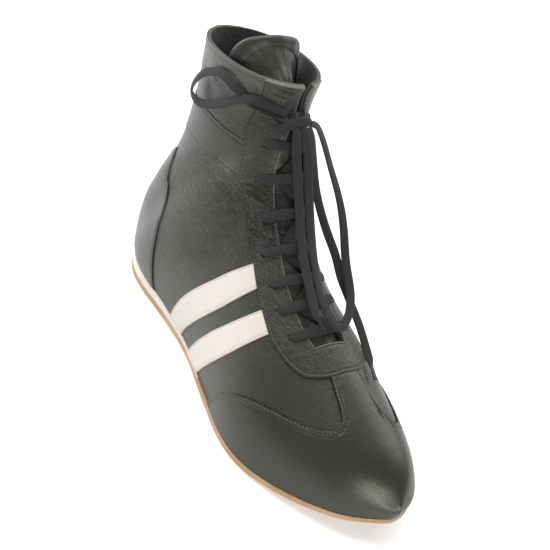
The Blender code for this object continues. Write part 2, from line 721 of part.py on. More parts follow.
for name, low_seam, high_seam, look in (("shaft_band", SEAM_LOW, SEAM_MIDDLE, shaft_leather),
                                        ("collar_cuff", SEAM_HIGH, None, cuff_leather)):
    for place, side in (("outer", -1), ("inner", 1)):
        overlay(f"{name}_{place}", look, side_columns(side),
                lambda around: seam_station(low_seam, around),
                lambda around: 1.985 if high_seam is None else seam_station(high_seam, around),
                lambda station: EYESTAY_EDGE + 0.005, lambda station: STRAP_HALF - 0.008)
strap_start = station_at_height(1.0, COLLAR_HEIGHT * SEAM_LOW[0])
overlay("back_strap", strap_leather, side_columns(-1)[-3:] + side_columns(1)[-3:][::-1],
        lambda around: strap_start, lambda around: 1.985, lambda station: STRAP_HALF, lambda station: 1.0,
        lambda row, k: k != 2)

# Tongue: under the eyestay below the ankle, leaning back inside the collar above it
tongue_lift = -(WALL + 0.0007)
tongue_across = np.linspace(-1, 1, 7)
tongue_rows = [TONGUE_FOOT] + [row for row in ROWS if TONGUE_FOOT + 0.01 < row < TONGUE_FREE]
tongue_points = [facet_points(np.full(7, station), tongue_across * TONGUE_HALF, tongue_lift) for station in tongue_rows]
for station, half, back, side_back, rise, side_rise in TONGUE_TOP:
    bow = tongue_across**2
    line = facet_points(np.full(7, station), tongue_across * half, tongue_lift)
    line[:, 0] -= SOLE_LENGTH * (back + (side_back - back) * bow)
    line[:, 2] += COLLAR_HEIGHT * (rise + (side_rise - rise) * bow)
    tongue_points.append(line)
tongue = add("tongue", sheet("tongue", np.array(tongue_points), None, away_from_last), tongue_leather)
thicken(tongue, TONGUE_THICKNESS, -1)

# Lace bars over the throat, joined by the slanting runs between them
def taut_stations(station, around):
    """Stations of a taut lace between two holes: the shortest way over the upper."""
    stations = np.full(len(around), float(station))
    for _ in range(120):
        points = skin_point(stations, around)
        forward = skin_point(stations + 0.002, around) - points
        pull = np.zeros_like(points)
        pull[1:-1] = (points[:-2] + points[2:]) / 2 - points[1:-1]
        stations = stations + (pull * forward).sum(1) / (forward**2).sum(1) * 0.0018
    return stations


bar_lift = OVERLAY_GAP + OVERLAY + 0.0009
runs = []
drops = []
for station, outer_at, inner_at in EYELETS:
    around = np.linspace(-outer_at, inner_at, 7)
    taut = taut_stations(station, around)
    drops.append(float(taut[3]) - station)
    ridge = np.linalg.norm(skin_point(station + 0.01, 0.0) - skin_point(station - 0.01, 0.0)) / 0.02
    half = LACE_WIDTH / 2 / ridge
    grid = np.stack([around, around])
    runs.append((facet_points(np.stack([taut - half, taut + half]), grid, bar_lift), LACE_THICKNESS))
for index in range(len(EYELETS) - 1):
    low_station = EYELETS[index][0]
    high_station = EYELETS[index + 1][0]
    shares = np.linspace(0, 1, 5)
    stations = low_station + (high_station - low_station) * shares
    stations = stations + drops[index] + (drops[index + 1] - drops[index]) * shares
    outer_edge = throat_edge(stations, -1)
    inner_edge = throat_edge(stations, 1)
    centre = (inner_edge - outer_edge) / 2
    half_gap = (inner_edge + outer_edge) / 2
    lean = (1 if index % 2 == 0 else -1) * (1 - 2 * shares) * 0.25
    width = 0.22
    lift = bar_lift + LACE_THICKNESS * (0.35 - 1.6 * np.sin(math.pi * shares)**0.6)
    around = np.stack([centre + half_gap * (lean - width), centre + half_gap * (lean + width)])
    runs.append((facet_points(np.stack([stations] * 2), around, np.stack([lift] * 2)), LACE_THICKNESS * 0.8))
bars = []
for index, (points, thickness) in enumerate(runs):
    piece = add(f"lace_run_{index}", sheet("lace_run", points, None, away_from_last), lace, tools)
    thicken(piece, thickness, 1)
    bars.append(applied(piece))
crossings = bars[0]
for other in bars[1:]:
    union = crossings.modifiers.new("join", "BOOLEAN")
    union.operation = "UNION"
    union.solver = "EXACT"
    union.object = other
applied(crossings)
crossings.name = "lace_crossings"
tools.objects.unlink(crossings)
parts.objects.link(crossings)
for other in bars[1:]:
    bpy.data.objects.remove(other, do_unlink=True)

# Free lace: route points in metres, from the knot outwards
KNOT = (
    (0.0680, -0.0118, 0.1672),
    (0.0684, -0.0086, 0.1707),
    (0.0689, -0.0044, 0.1733),
    (0.0699, 0.0002, 0.1745),
    (0.0712, 0.0046, 0.1739),
)
LOOP_OUTER = (
    (0.0675, -0.0098, 0.1728),
    (0.0648, -0.0107, 0.1772),
    (0.0605, -0.0126, 0.1800),
    (0.0546, -0.0177, 0.1800),
    (0.0483, -0.0242, 0.1795),
    (0.0407, -0.0292, 0.1800),
    (0.0328, -0.0324, 0.1806),
    (0.0237, -0.0338, 0.1786),
    (0.0129, -0.0342, 0.1738),
    (0.0033, -0.0330, 0.1665),
    (-0.0025, -0.0318, 0.1590),
    (-0.0015, -0.0318, 0.1535),
    (0.0064, -0.0325, 0.1530),
    (0.0170, -0.0330, 0.1572),
    (0.0284, -0.0325, 0.1636),
    (0.0384, -0.0305, 0.1696),
    (0.0470, -0.0262, 0.1726),
    (0.0540, -0.0218, 0.1718),
    (0.0600, -0.0177, 0.1698),
    (0.0658, -0.0146, 0.1674),
)
LOOP_INNER = (
    (0.0714, 0.0053, 0.1738),
    (0.0711, 0.0094, 0.1724),
    (0.0704, 0.0142, 0.1686),
    (0.0712, 0.0200, 0.1610),
    (0.0740, 0.0250, 0.1520),
    (0.0783, 0.0290, 0.1430),
    (0.0840, 0.0315, 0.1355),
    (0.0905, 0.0328, 0.1283),
    (0.0984, 0.0326, 0.1205),
    (0.1069, 0.0312, 0.1122),
    (0.1155, 0.0294, 0.1036),
    (0.1250, 0.0279, 0.0958),
    (0.1335, 0.0258, 0.0899),
    (0.1413, 0.0215, 0.0850),
    (0.1472, 0.0155, 0.0820),
    (0.1500, 0.0092, 0.0808),
    (0.1492, 0.0045, 0.0826),
    (0.1445, 0.0020, 0.0858),
    (0.1380, 0.0012, 0.0900),
    (0.1303, 0.0012, 0.0955),
    (0.1220, 0.0020, 0.1022),
    (0.1132, 0.0030, 0.1098),
    (0.1055, 0.0040, 0.1175),
    (0.0982, 0.0046, 0.1262),
    (0.0917, 0.0048, 0.1355),
    (0.0862, 0.0044, 0.1453),
    (0.0818, 0.0036, 0.1550),
    (0.0777, 0.0016, 0.1650),
    (0.0745, 0.0002, 0.1705),
    (0.0723, -0.0002, 0.1725),
)
END_CENTRE = (
    (0.0711, -0.0050, 0.1710),
    (0.0737, -0.0050, 0.1680),
    (0.0768, -0.0036, 0.1588),
    (0.0817, -0.0022, 0.1485),
    (0.0874, -0.0014, 0.1380),
    (0.0942, -0.0014, 0.1282),
    (0.1017, -0.0022, 0.1190),
    (0.1100, -0.0032, 0.1105),
    (0.1192, -0.0042, 0.1027),
    (0.1288, -0.0050, 0.0955),
    (0.1363, -0.0056, 0.0901),
    (0.1422, -0.0058, 0.0863),
    (0.1472, -0.0050, 0.0833),
    (0.1517, -0.0030, 0.0800),
)
END_INNER = (
    (0.0728, 0.0038, 0.1722),
    (0.0745, 0.0058, 0.1680),
    (0.0762, 0.0086, 0.1600),
    (0.0788, 0.0120, 0.1490),
    (0.0828, 0.0160, 0.1355),
    (0.0920, 0.0200, 0.1210),
    (0.1018, 0.0236, 0.1097),
    (0.1108, 0.0262, 0.1010),
    (0.1193, 0.0272, 0.0925),
    (0.1270, 0.0288, 0.0860),
    (0.1350, 0.0303, 0.0800),
    (0.1440, 0.0310, 0.0745),
    (0.1540, 0.0300, 0.0695),
    (0.1640, 0.0280, 0.0652),
    (0.1715, 0.0260, 0.0630),
    (0.1789, 0.0240, 0.0610),
)


def cord(name, route, diameter, spacing=0.011):
    """Tube along a smooth curve through the route points."""
    route = np.array(route, float)
    steps = np.concatenate([[0], np.cumsum(np.linalg.norm(np.diff(route, axis=0), axis=1))])
    curves = [spline(steps, route[:, k]) for k in range(3)]
    count = max(6, min(80, int(steps[-1] / spacing) + 1))
    at = np.linspace(0, steps[-1], count)
    points = np.stack([curve(at) for curve in curves], -1)
    data = bpy.data.curves.new(name, "CURVE")
    data.dimensions = "3D"
    data.bevel_depth = diameter / 2
    data.bevel_resolution = 2
    data.use_fill_caps = True
    line = data.splines.new("POLY")
    line.points.add(count - 1)
    for point, place in zip(line.points, points):
        point.co = (*place, 1)
    temporary = bpy.data.objects.new(name + "_line", data)
    tools.objects.link(temporary)
    bpy.context.view_layer.update()
    graph = bpy.context.evaluated_depsgraph_get()
    mesh = bpy.data.meshes.new_from_object(temporary.evaluated_get(graph))
    bpy.data.objects.remove(temporary, do_unlink=True)
    bpy.data.curves.remove(data)
    tube = bmesh.new()
    tube.from_mesh(mesh)
    bmesh.ops.remove_doubles(tube, verts=tube.verts, dist=1e-6)
    bmesh.ops.recalc_face_normals(tube, faces=tube.faces)
    tube.to_mesh(mesh)
    tube.free()
    mesh.name = name
    mesh.materials.clear()
    return add(name, mesh, lace)


cord("lace_knot", KNOT, KNOT_DIAMETER, 0.0035)
cord("lace_loop_outer", LOOP_OUTER, CORD_DIAMETER)
cord("lace_loop_inner", LOOP_INNER, CORD_DIAMETER)
cord("lace_end_centre", END_CENTRE, CORD_DIAMETER)
cord("lace_end_inner", END_INNER, CORD_DIAMETER)
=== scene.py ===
"""High wrestling shoe for the right foot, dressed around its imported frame.

Row frame, metres: the origin is on the floor under the middle of the heel, +X points to
the toe, +Y to the inner side of the foot and +Z up.
"""

import json
import math

import bpy
import numpy as np
from mathutils import Matrix, Vector

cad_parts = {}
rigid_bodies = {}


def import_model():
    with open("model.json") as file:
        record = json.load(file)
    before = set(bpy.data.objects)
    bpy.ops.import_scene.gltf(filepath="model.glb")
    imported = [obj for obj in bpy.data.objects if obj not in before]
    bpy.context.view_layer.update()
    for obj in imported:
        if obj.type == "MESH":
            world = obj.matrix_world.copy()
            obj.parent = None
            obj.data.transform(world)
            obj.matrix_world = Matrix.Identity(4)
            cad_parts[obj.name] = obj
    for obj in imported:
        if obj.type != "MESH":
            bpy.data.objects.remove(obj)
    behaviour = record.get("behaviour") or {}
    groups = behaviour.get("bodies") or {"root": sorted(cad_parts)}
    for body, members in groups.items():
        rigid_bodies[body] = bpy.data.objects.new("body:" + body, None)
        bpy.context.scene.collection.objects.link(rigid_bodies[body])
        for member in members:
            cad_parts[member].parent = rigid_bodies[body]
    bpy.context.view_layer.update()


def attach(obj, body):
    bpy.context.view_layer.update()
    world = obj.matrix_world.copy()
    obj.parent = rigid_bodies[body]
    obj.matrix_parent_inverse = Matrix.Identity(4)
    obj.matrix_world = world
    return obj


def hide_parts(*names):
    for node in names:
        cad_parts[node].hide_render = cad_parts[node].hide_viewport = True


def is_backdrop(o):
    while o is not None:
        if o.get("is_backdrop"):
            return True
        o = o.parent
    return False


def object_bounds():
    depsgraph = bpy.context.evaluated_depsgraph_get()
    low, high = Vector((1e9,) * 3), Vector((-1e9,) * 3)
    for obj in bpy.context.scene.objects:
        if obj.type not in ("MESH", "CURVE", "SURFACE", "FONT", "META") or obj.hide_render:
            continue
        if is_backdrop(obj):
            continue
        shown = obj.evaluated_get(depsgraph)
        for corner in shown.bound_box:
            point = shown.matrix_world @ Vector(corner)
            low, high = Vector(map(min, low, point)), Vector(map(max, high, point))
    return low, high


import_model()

# Camera: a longer lens held close, rolled so that the toe points down to the right.
# It looks at a point inside the instep from the outer front side.
VIEW_AZIMUTH = math.radians(46.141)
VIEW_HEIGHT = math.radians(32.98)
VIEW_ROLL = math.radians(19.741)
VIEW_DISTANCE = 0.5712
VIEW_TARGET = Vector((0.078675, 0.0, 0.09))
FOCAL_SHARE = 1.64525
SHIFT = (0.00937, -0.05571)

camera_data = bpy.data.cameras.new("studio_camera")
camera = bpy.data.objects.new("studio_camera", camera_data)
bpy.context.scene.collection.objects.link(camera)
camera_data.sensor_width = 36.0
camera_data.lens = 36.0 * FOCAL_SHARE
camera_data.shift_x, camera_data.shift_y = SHIFT
camera_data.clip_start = 0.01
back = Vector((math.sin(VIEW_AZIMUTH) * math.cos(VIEW_HEIGHT),
               -math.cos(VIEW_AZIMUTH) * math.cos(VIEW_HEIGHT), math.sin(VIEW_HEIGHT)))
level = Vector((math.cos(VIEW_AZIMUTH), math.sin(VIEW_AZIMUTH), 0))
upright = back.cross(level)
right = level * math.cos(VIEW_ROLL) + upright * math.sin(VIEW_ROLL)
upward = upright * math.cos(VIEW_ROLL) - level * math.sin(VIEW_ROLL)
turn = Matrix((right, upward, back)).transposed().to_4x4()
camera.matrix_world = Matrix.Translation(VIEW_TARGET + back * VIEW_DISTANCE) @ turn
bpy.context.scene.camera = camera


# Free lace: flat woven cotton tied in a bow. One short loop lies over the outer side of
# the shaft, one long loop and two ends with metal tips hang down over the tongue.
LACE_FLAT = 0.0056
LACE_THICK = 0.0013
LACE_COLOUR = (0.0128, 0.0136, 0.0108)
TIP_COLOUR = (0.045, 0.045, 0.042)
TIP_LENGTH = 0.012
TIP_RADIUS = 0.0010
TIP_OVERLAP = 0.003
TIP_PRESS = 0.006
KNOT_PULL = 0.010
RUN_STEP = 0.0015
LOOP_OUTER = (
    (0.0675, -0.0093, 0.1724), (0.0635, -0.0100, 0.1735), (0.0590, -0.0125, 0.1733), (0.0540, -0.0168, 0.1735),
    (0.0492, -0.0212, 0.1740), (0.0448, -0.0250, 0.1757), (0.0409, -0.0283, 0.1780), (0.0362, -0.0310, 0.1799),
    (0.0285, -0.0332, 0.1818), (0.0191, -0.0342, 0.1796), (0.0097, -0.0348, 0.1734), (0.0045, -0.0350, 0.1660),
    (0.0030, -0.0350, 0.1573), (0.0093, -0.0346, 0.1548), (0.0187, -0.0335, 0.1572), (0.0281, -0.0325, 0.1630),
    (0.0363, -0.0308, 0.1691), (0.0427, -0.0287, 0.1744), (0.0486, -0.0255, 0.1775), (0.0529, -0.0213, 0.1782),
    (0.0568, -0.0165, 0.1776), (0.0605, -0.0120, 0.1770), (0.0640, -0.0085, 0.1760),
)
LOOP_INNER = (
    (0.0714, 0.0053, 0.1738),
    (0.0711, 0.0094, 0.1724),
    (0.0704, 0.0142, 0.1686),
    (0.0712, 0.0200, 0.1610),
    (0.0740, 0.0250, 0.1520),
    (0.0783, 0.0290, 0.1430),
    (0.0840, 0.0315, 0.1355),
    (0.0905, 0.0328, 0.1283),
    (0.0984, 0.0326, 0.1205),
    (0.1069, 0.0312, 0.1122),
    (0.1155, 0.0294, 0.1036),
    (0.1250, 0.0279, 0.0958),
    (0.1335, 0.0258, 0.0899),
    (0.1413, 0.0215, 0.0850),
    (0.1472, 0.0155, 0.0820),
    (0.1500, 0.0092, 0.0808),
    (0.1492, 0.0045, 0.0826),
    (0.1445, 0.0020, 0.0858),
    (0.1380, 0.0012, 0.0900),
    (0.1303, 0.0012, 0.0955),
    (0.1220, 0.0020, 0.1022),
    (0.1132, 0.0030, 0.1098),
    (0.1055, 0.0040, 0.1175),
    (0.0982, 0.0046, 0.1262),
    (0.0917, 0.0048, 0.1355),
    (0.0862, 0.0044, 0.1453),
    (0.0818, 0.0036, 0.1550),
    (0.0777, 0.0016, 0.1650),
    (0.0745, 0.0002, 0.1705),
    (0.0723, -0.0002, 0.1725),
)
END_CENTRE = (
    (0.0711, -0.0050, 0.1710),
    (0.0737, -0.0050, 0.1680),
    (0.0768, -0.0036, 0.1588),
    (0.0817, -0.0022, 0.1485),
    (0.0874, -0.0014, 0.1380),
    (0.0942, -0.0014, 0.1282),
    (0.1017, -0.0022, 0.1190),
    (0.1100, -0.0032, 0.1105),
    (0.1192, -0.0042, 0.1027),
    (0.1288, -0.0050, 0.0955),
    (0.1363, -0.0056, 0.0901),
    (0.1422, -0.0058, 0.0863),
    (0.1472, -0.0050, 0.0833),
    (0.1517, -0.0030, 0.0800),
)
END_INNER = (
    (0.0728, 0.0038, 0.1722),
    (0.0745, 0.0058, 0.1680),
    (0.0762, 0.0086, 0.1600),
    (0.0788, 0.0120, 0.1490),
    (0.0828, 0.0160, 0.1355),
    (0.0920, 0.0200, 0.1210),
    (0.1018, 0.0236, 0.1097),
    (0.1108, 0.0262, 0.1010),
    (0.1193, 0.0272, 0.0925),
    (0.1270, 0.0288, 0.0860),
    (0.1350, 0.0303, 0.0800),
    (0.1440, 0.0310, 0.0745),
    (0.1540, 0.0300, 0.0695),
    (0.1640, 0.0280, 0.0652),
    (0.1715, 0.0260, 0.0630),
    (0.1789, 0.0240, 0.0610),
)
# Direction that the flat side of each run faces, at even steps along it
FACES_LOOP_OUTER = ((0.3, -0.5, 0.8), (0.2, -0.9, 0.6), (0.1, -1.0, 0.4), (-0.2, -1.0, 0.2), (-0.5, -0.9, 0.0),
                    (0.0, -1.0, 0.3), (0.2, -0.9, 0.6), (0.4, -0.7, 0.7))
FACES_LOOP_INNER = ((0.7, 0.2, 0.7), (0.9, 0.3, 0.4), (0.7, -0.1, 0.8), (0.9, -0.5, 0.5), (0.8, -0.5, 0.6),
                    (0.6, -0.2, 0.8), (0.5, 0.1, 0.9), (0.7, -0.2, 0.7), (0.8, -0.5, 0.5), (0.8, -0.4, 0.6))
FACES_END_CENTRE = ((0.8, -0.4, 0.6), (0.8, -0.5, 0.5), (0.7, -0.3, 0.7), (0.6, -0.3, 0.8))
FACES_END_INNER = ((0.8, 0.1, 0.6), (0.9, -0.3, 0.5), (0.7, -0.5, 0.6), (0.8, -0.2, 0.7), (0.6, -0.3, 0.8))


class Pattern:
    """A shader socket that takes part in sums, so that a pattern reads as an expression."""

    def __init__(self, finish, socket):
        self.finish = finish
        self.socket = socket

    def maths(self, operation, *others):
        values = dict(enumerate([self, *others]))
        return self.finish.node("ShaderNodeMath", {"operation": operation}, values)

    def __add__(self, other):
        return self.maths("ADD", other)

    def __sub__(self, other):
        return self.maths("SUBTRACT", other)

    def __mul__(self, other):
        return self.maths("MULTIPLY", other)

    def __rsub__(self, other):
        return self.maths("MULTIPLY", -1.0).maths("ADD", other)

    __radd__ = __add__
    __rmul__ = __mul__

    def ramp(self, low, high):
        """0 below low, 1 above high, smooth between; low may be the larger."""
        sockets = {"Value": self, "From Min": low, "From Max": high, "To Min": 0.0, "To Max": 1.0}
        return self.finish.node("ShaderNodeMapRange", {"interpolation_type": "SMOOTHSTEP"}, sockets)

    def sine(self):
        return self.maths("SINE")

    def size(self):
        return self.maths("ABSOLUTE")


class Finish:
    """A material and the nodes behind it."""

    def __init__(self, name, metallic=0.0):
        self.material = bpy.data.materials.new(name)
        self.material.use_nodes = True
        self.tree = self.material.node_tree
        self.shader = self.tree.nodes["Principled BSDF"]
        self.shader.inputs["Metallic"].default_value = metallic

    def node(self, kind, settings, sockets, output=0):
        made = self.tree.nodes.new(kind)
        for name, value in settings.items():
            setattr(made, name, value)
        for name, value in sockets.items():
            if isinstance(value, Pattern):
                self.tree.links.new(value.socket, made.inputs[name])
            elif isinstance(value, (tuple, list)) and len(made.inputs[name].default_value) == 4:
                made.inputs[name].default_value = (*value, 1.0)[:4]
            else:
                made.inputs[name].default_value = value
        return Pattern(self, made.outputs[output])

    def feed(self, name, value):
        if isinstance(value, Pattern):
            self.tree.links.new(value.socket, self.shader.inputs[name])
        elif isinstance(value, tuple):
            self.shader.inputs[name].default_value = (*value, 1.0)
        else:
            self.shader.inputs[name].default_value = value

    def place(self, scale=(1, 1, 1), rotation=(0, 0, 0)):
        where = self.node("ShaderNodeTexCoord", {}, {}, 3)
        return self.turned(where, scale, rotation)

    def turned(self, where, scale, rotation):
        return self.node("ShaderNodeMapping", {"vector_type": "POINT"},
                         {"Vector": where, "Scale": scale, "Rotation": rotation})

    def painted(self, name):
        """A value that the mesh holds per point."""
        return self.node("ShaderNodeAttribute", {"attribute_name": name}, {}, 2)

    def settle(self, **values):
        """Constants on the shader's own sockets, with spaces for underscores."""
        for name, value in values.items():
            self.shader.inputs[name.replace("_", " ")].default_value = value

    def axes(self, where):
        split = self.node("ShaderNodeSeparateXYZ", {}, {0: where})
        outputs = split.socket.node.outputs
        return [Pattern(self, outputs[k]) for k in range(3)]

    def noise(self, where, scale, detail=2.0, roughness=0.5, distortion=0.0):
        return self.node("ShaderNodeTexNoise", {}, {"Vector": where, "Scale": scale, "Detail": detail,
                                                    "Roughness": roughness, "Distortion": distortion})

    def cells(self, where, scale):
        return self.node("ShaderNodeTexVoronoi", {}, {"Vector": where, "Scale": scale})

    def blend(self, share, first, second):
        return self.node("ShaderNodeMix", {"data_type": "RGBA"}, {0: share, 6: first, 7: second}, 2)

    def bump(self, height, distance, under=None):
        sockets = {"Height": height, "Distance": distance, "Strength": 1.0}
        if under is not None:
            sockets["Normal"] = under
        return self.node("ShaderNodeBump", {}, sockets)


def tinted(colour, gain, lift=0.0):
    return tuple(c * gain + lift for c in colour)


def spline(xs, ys):
    """Natural cubic spline through the rows of a table."""
    xs = np.asarray(xs, float)
    ys = np.asarray(ys, float)
    count = len(xs)
    step = np.diff(xs)
    left = np.eye(count)
    side = np.zeros(count)
    for i in range(1, count - 1):
        left[i, i - 1] = step[i - 1]
        left[i, i] = 2 * (step[i - 1] + step[i])
        left[i, i + 1] = step[i]
        side[i] = 6 * ((ys[i + 1] - ys[i]) / step[i] - (ys[i] - ys[i - 1]) / step[i - 1])
    bend = np.linalg.solve(left, side)

    def value(x):
        x = np.clip(np.asarray(x, float), xs[0], xs[-1])
        i = np.clip(np.searchsorted(xs, x) - 1, 0, count - 2)
        a = xs[i + 1] - x
        b = x - xs[i]
        h = step[i]
        curve = (bend[i] * a**3 + bend[i + 1] * b**3) / (6 * h)
        return curve + (ys[i] / h - bend[i] * h / 6) * a + (ys[i + 1] / h - bend[i + 1] * h / 6) * b

    return value


def smooth_run(route, spacing):
    """Points at even steps on a smooth curve through a route."""
    route = np.array(route, float)
    steps = np.concatenate([[0], np.cumsum(np.linalg.norm(np.diff(route, axis=0), axis=1))])
    at = np.linspace(0, steps[-1], max(4, int(steps[-1] / spacing) + 1))
    return np.stack([spline(steps, route[:, k])(at) for k in range(3)], -1)


def lengths(points):
    return np.concatenate([[0], np.cumsum(np.linalg.norm(np.diff(points, axis=0), axis=1))])


def new_mesh(name, points, faces, look, smooth_angle=math.radians(50)):
    mesh = bpy.data.meshes.new(name)
    mesh.from_pydata([tuple(p) for p in points], [], [tuple(int(v) for v in face) for face in faces])
    mesh.validate()
    mesh.shade_smooth()
    mesh.set_sharp_from_angle(angle=smooth_angle)
    piece = bpy.data.objects.new(name, mesh)
    bpy.context.scene.collection.objects.link(piece)
    mesh.materials.append(look)
    return piece


def ribbon(name, points, faces_to, width, thickness, look, sides=12):
    """Flat lace along points. faces_to is the direction that its flat side looks in; width
    and thickness may change along it. The map holds metres across and along."""
    count = len(points)
    tangent = np.gradient(points, axis=0)
    tangent /= np.linalg.norm(tangent, axis=1, keepdims=True)
    up = faces_to - tangent * (faces_to * tangent).sum(1, keepdims=True)
    up /= np.linalg.norm(up, axis=1, keepdims=True)
    across = np.cross(tangent, up)
    turns = np.arange(sides) / sides * 2 * math.pi
    flat = np.sign(np.cos(turns)) * np.abs(np.cos(turns))**0.75 / 2
    high = np.sign(np.sin(turns)) * np.abs(np.sin(turns))**0.9 / 2
    width = np.broadcast_to(width, count)[:, None, None]
    thickness = np.broadcast_to(thickness, count)[:, None, None]
    rings = (points[:, None] + across[:, None] * flat[None, :, None] * width
             + up[:, None] * high[None, :, None] * thickness)
    grid = np.arange(count * sides).reshape(count, sides)
    after = np.roll(grid, -1, 1)
    faces = np.stack([grid[:-1], after[:-1], after[1:], grid[1:]], -1).reshape(-1, 4)
    faces = [*faces.tolist(), grid[0][::-1].tolist(), grid[-1].tolist()]
    piece = new_mesh(name, rings.reshape(-1, 3), faces, look)
    layer = piece.data.uv_layers.new(name="weave")
    along = lengths(points)
    where = np.stack([np.tile(flat, count) * np.repeat(width[:, 0, 0], sides), np.repeat(along, sides)], -1)
    picks = np.empty(len(piece.data.loops), int)
    piece.data.loops.foreach_get("vertex_index", picks)
    layer.data.foreach_set("uv", where[picks].ravel())
    return piece


def lace_finish(name, colour):
    """Woven cotton: two slanting sets of yarns with a rib down the middle, dull and napped."""
    finish = Finish(name)
    where = finish.node("ShaderNodeUVMap", {"uv_map": "weave"}, {})
    across, along, _ = finish.axes(where)
    slant = across.size() * 5200.0
    yarn = (along * 5200.0 + slant).sine() * 0.5 + 0.5
    rib = (across * 7000.0).sine().size()
    fuzz = finish.noise(finish.place(), 2600.0, 3.0, 0.6)
    height = yarn * 0.6 + rib * 0.4 + fuzz * 0.5
    shade = (yarn * 0.5 + rib * 0.25 + fuzz * 0.35).ramp(0.15, 0.95)
    finish.feed("Base Color", finish.blend(shade, tinted(colour, 0.55), tinted(colour, 1.75)))
    finish.settle(Roughness=0.82, Sheen_Weight=0.12, Sheen_Roughness=0.4)
    finish.feed("Normal", finish.bump(height, 0.00022))
    return finish.material


def metal_finish(name, colour):
    """Thin metal wrapped round the end of a lace, with fine scratches."""
    finish = Finish(name, metallic=0.9)
    scratch = finish.noise(finish.place(scale=(1, 1, 0.2)), 3000.0, 3.0)
    finish.feed("Base Color", finish.blend(scratch, tinted(colour, 0.8), tinted(colour, 1.2)))
    finish.feed("Roughness", scratch * 0.2 + 0.22)
    finish.feed("Normal", finish.bump(scratch, 0.00003))
    return finish.material


def read_off(table, marks, at):
    """Rows of a table, which stand at marks, read at other places."""
    return np.stack([np.interp(at, marks, column) for column in np.array(table, float).T], -1)


def evenly(table, count):
    return read_off(table, np.arange(len(table)), np.linspace(0, len(table) - 1, count))


def unit(vectors):
    return vectors / np.maximum(np.linalg.norm(vectors, axis=-1, keepdims=True), 1e-12)


def dress(piece, node):
    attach(piece, "root")
    if node:
        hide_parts(node)


def joined(name, pieces):
    """One mesh of several."""
    for other in bpy.context.scene.objects:
        other.select_set(other in pieces)
    bpy.context.view_layer.objects.active = pieces[0]
    bpy.ops.object.join()
    pieces[0].select_set(False)
    pieces[0].name = name
    return pieces[0]


lace_look = lace_finish("lace_cotton", LACE_COLOUR)
tip_look = metal_finish("lace_tip_metal", TIP_COLOUR)
free_laces = {}
for name, route, faces in (("lace_loop_outer", LOOP_OUTER, FACES_LOOP_OUTER),
                           ("lace_loop_inner", LOOP_INNER, FACES_LOOP_INNER),
                           ("lace_end_centre", END_CENTRE, FACES_END_CENTRE),
                           ("lace_end_inner", END_INNER, FACES_END_INNER)):
    run = smooth_run(route, RUN_STEP)
    ends = name.startswith("lace_end")
    if ends:
        along = lengths(run)
        woven = along <= along[-1] - TIP_LENGTH + TIP_OVERLAP
        tip_run = run[along >= along[-1] - TIP_LENGTH]
        run = run[woven]
    gone, left = lengths(run), lengths(run)[-1] - lengths(run)
    # An end is pressed narrow into its tip; a loop is pulled narrow at both ends by the knot
    taper = 0.45 + 0.55 * np.clip(left / TIP_PRESS, 0, 1) if ends else np.ones(len(run))
    pulled = np.clip(gone / KNOT_PULL, 0, 1)
    if not ends:
        pulled = np.minimum(pulled, np.clip(left / KNOT_PULL, 0, 1))
    piece = ribbon(name + "_woven", run, evenly(faces, len(run)), LACE_FLAT * taper * (0.72 + 0.28 * pulled),
                   LACE_THICK * (1 + 0.5 * (1 - taper)), lace_look)
    parts_on_it = []
    if ends:
        tip = ribbon(name + "_tip", tip_run, evenly(faces, len(tip_run)), TIP_RADIUS * 2.2, TIP_RADIUS * 1.8,
                     tip_look)
        dress(tip, None)
        parts_on_it.append(tip)
    dress(piece, name)
    free_laces[name] = (piece, run, parts_on_it)

# The knot, a piece of its own: the lace crosses itself, turns once round the crossing and is
# pulled flat. The loops and the ends leave from it.
KNOT_WIDTH = 0.0058
KNOT_STEP = 0.0008
KNOT = (
    (0.0680, -0.0118, 0.1672),
    (0.0684, -0.0086, 0.1707),
    (0.0689, -0.0044, 0.1733),
    (0.0699, 0.0002, 0.1745),
    (0.0712, 0.0046, 0.1739),
)
knot_run = smooth_run(KNOT, KNOT_STEP)
toward = np.array((0.72, -0.42, 0.55))
wrap_width = KNOT_WIDTH * (0.85 + 0.15 * np.sin(np.linspace(0, math.pi, len(knot_run))))
knot_wrap = ribbon("lace_knot_wrap", knot_run + unit(toward) * 0.0012, np.tile(toward, (len(knot_run), 1)),
                   wrap_width, 0.0017, lace_look)
core_side = unit(np.cross(toward, knot_run[-1] - knot_run[0]))
core_middle = knot_run[len(knot_run) // 2]
core_run = smooth_run([core_middle + core_side * k * 0.0042 - unit(toward) * (0.0006 + 0.0012 * abs(k))
                       for k in (-1, -0.5, 0, 0.5, 1)], KNOT_STEP)
knot_core = ribbon("lace_knot_core", core_run, np.tile(toward, (len(core_run), 1)), 0.0062, 0.0034, lace_look)
low_count = len(knot_run) * 2 // 3
knot_low = ribbon("lace_knot_low", knot_run[:low_count] - unit(toward) * 0.0014 + core_side * 0.0012,
                  np.tile(toward, (low_count, 1)), KNOT_WIDTH, 0.0026, lace_look)
knot = joined("lace_knot_tied", [knot_wrap, knot_core, knot_low])
dress(knot, "lace_knot")
free_laces["lace_loop_outer"][2].append(knot)


# The last: the form that the upper is pulled over. Sections run from the toe over the heel
# and up the shaft, with the same tables as the solids, so each piece lies on the frame.
SOLE_LENGTH = 0.285
BALL_WIDTH = 0.099
HEEL_WIDTH = 0.070
ANKLE_WIDTH = 0.064
INSTEP_HEIGHT = 0.082
COLLAR_HEIGHT = 0.188
TOE_SPRING = 0.013
ARCH_RISE = 0.0012
OUTSOLE_THICKNESS = 0.004
MIDSOLE_HEEL = 0.007
SOLE_SHOWS = 0.002
GAP = 0.0003
HEEL_CENTRE = 0.145
# Share of the way round at which the section changes its formula
SECTION_BEND = 0.60
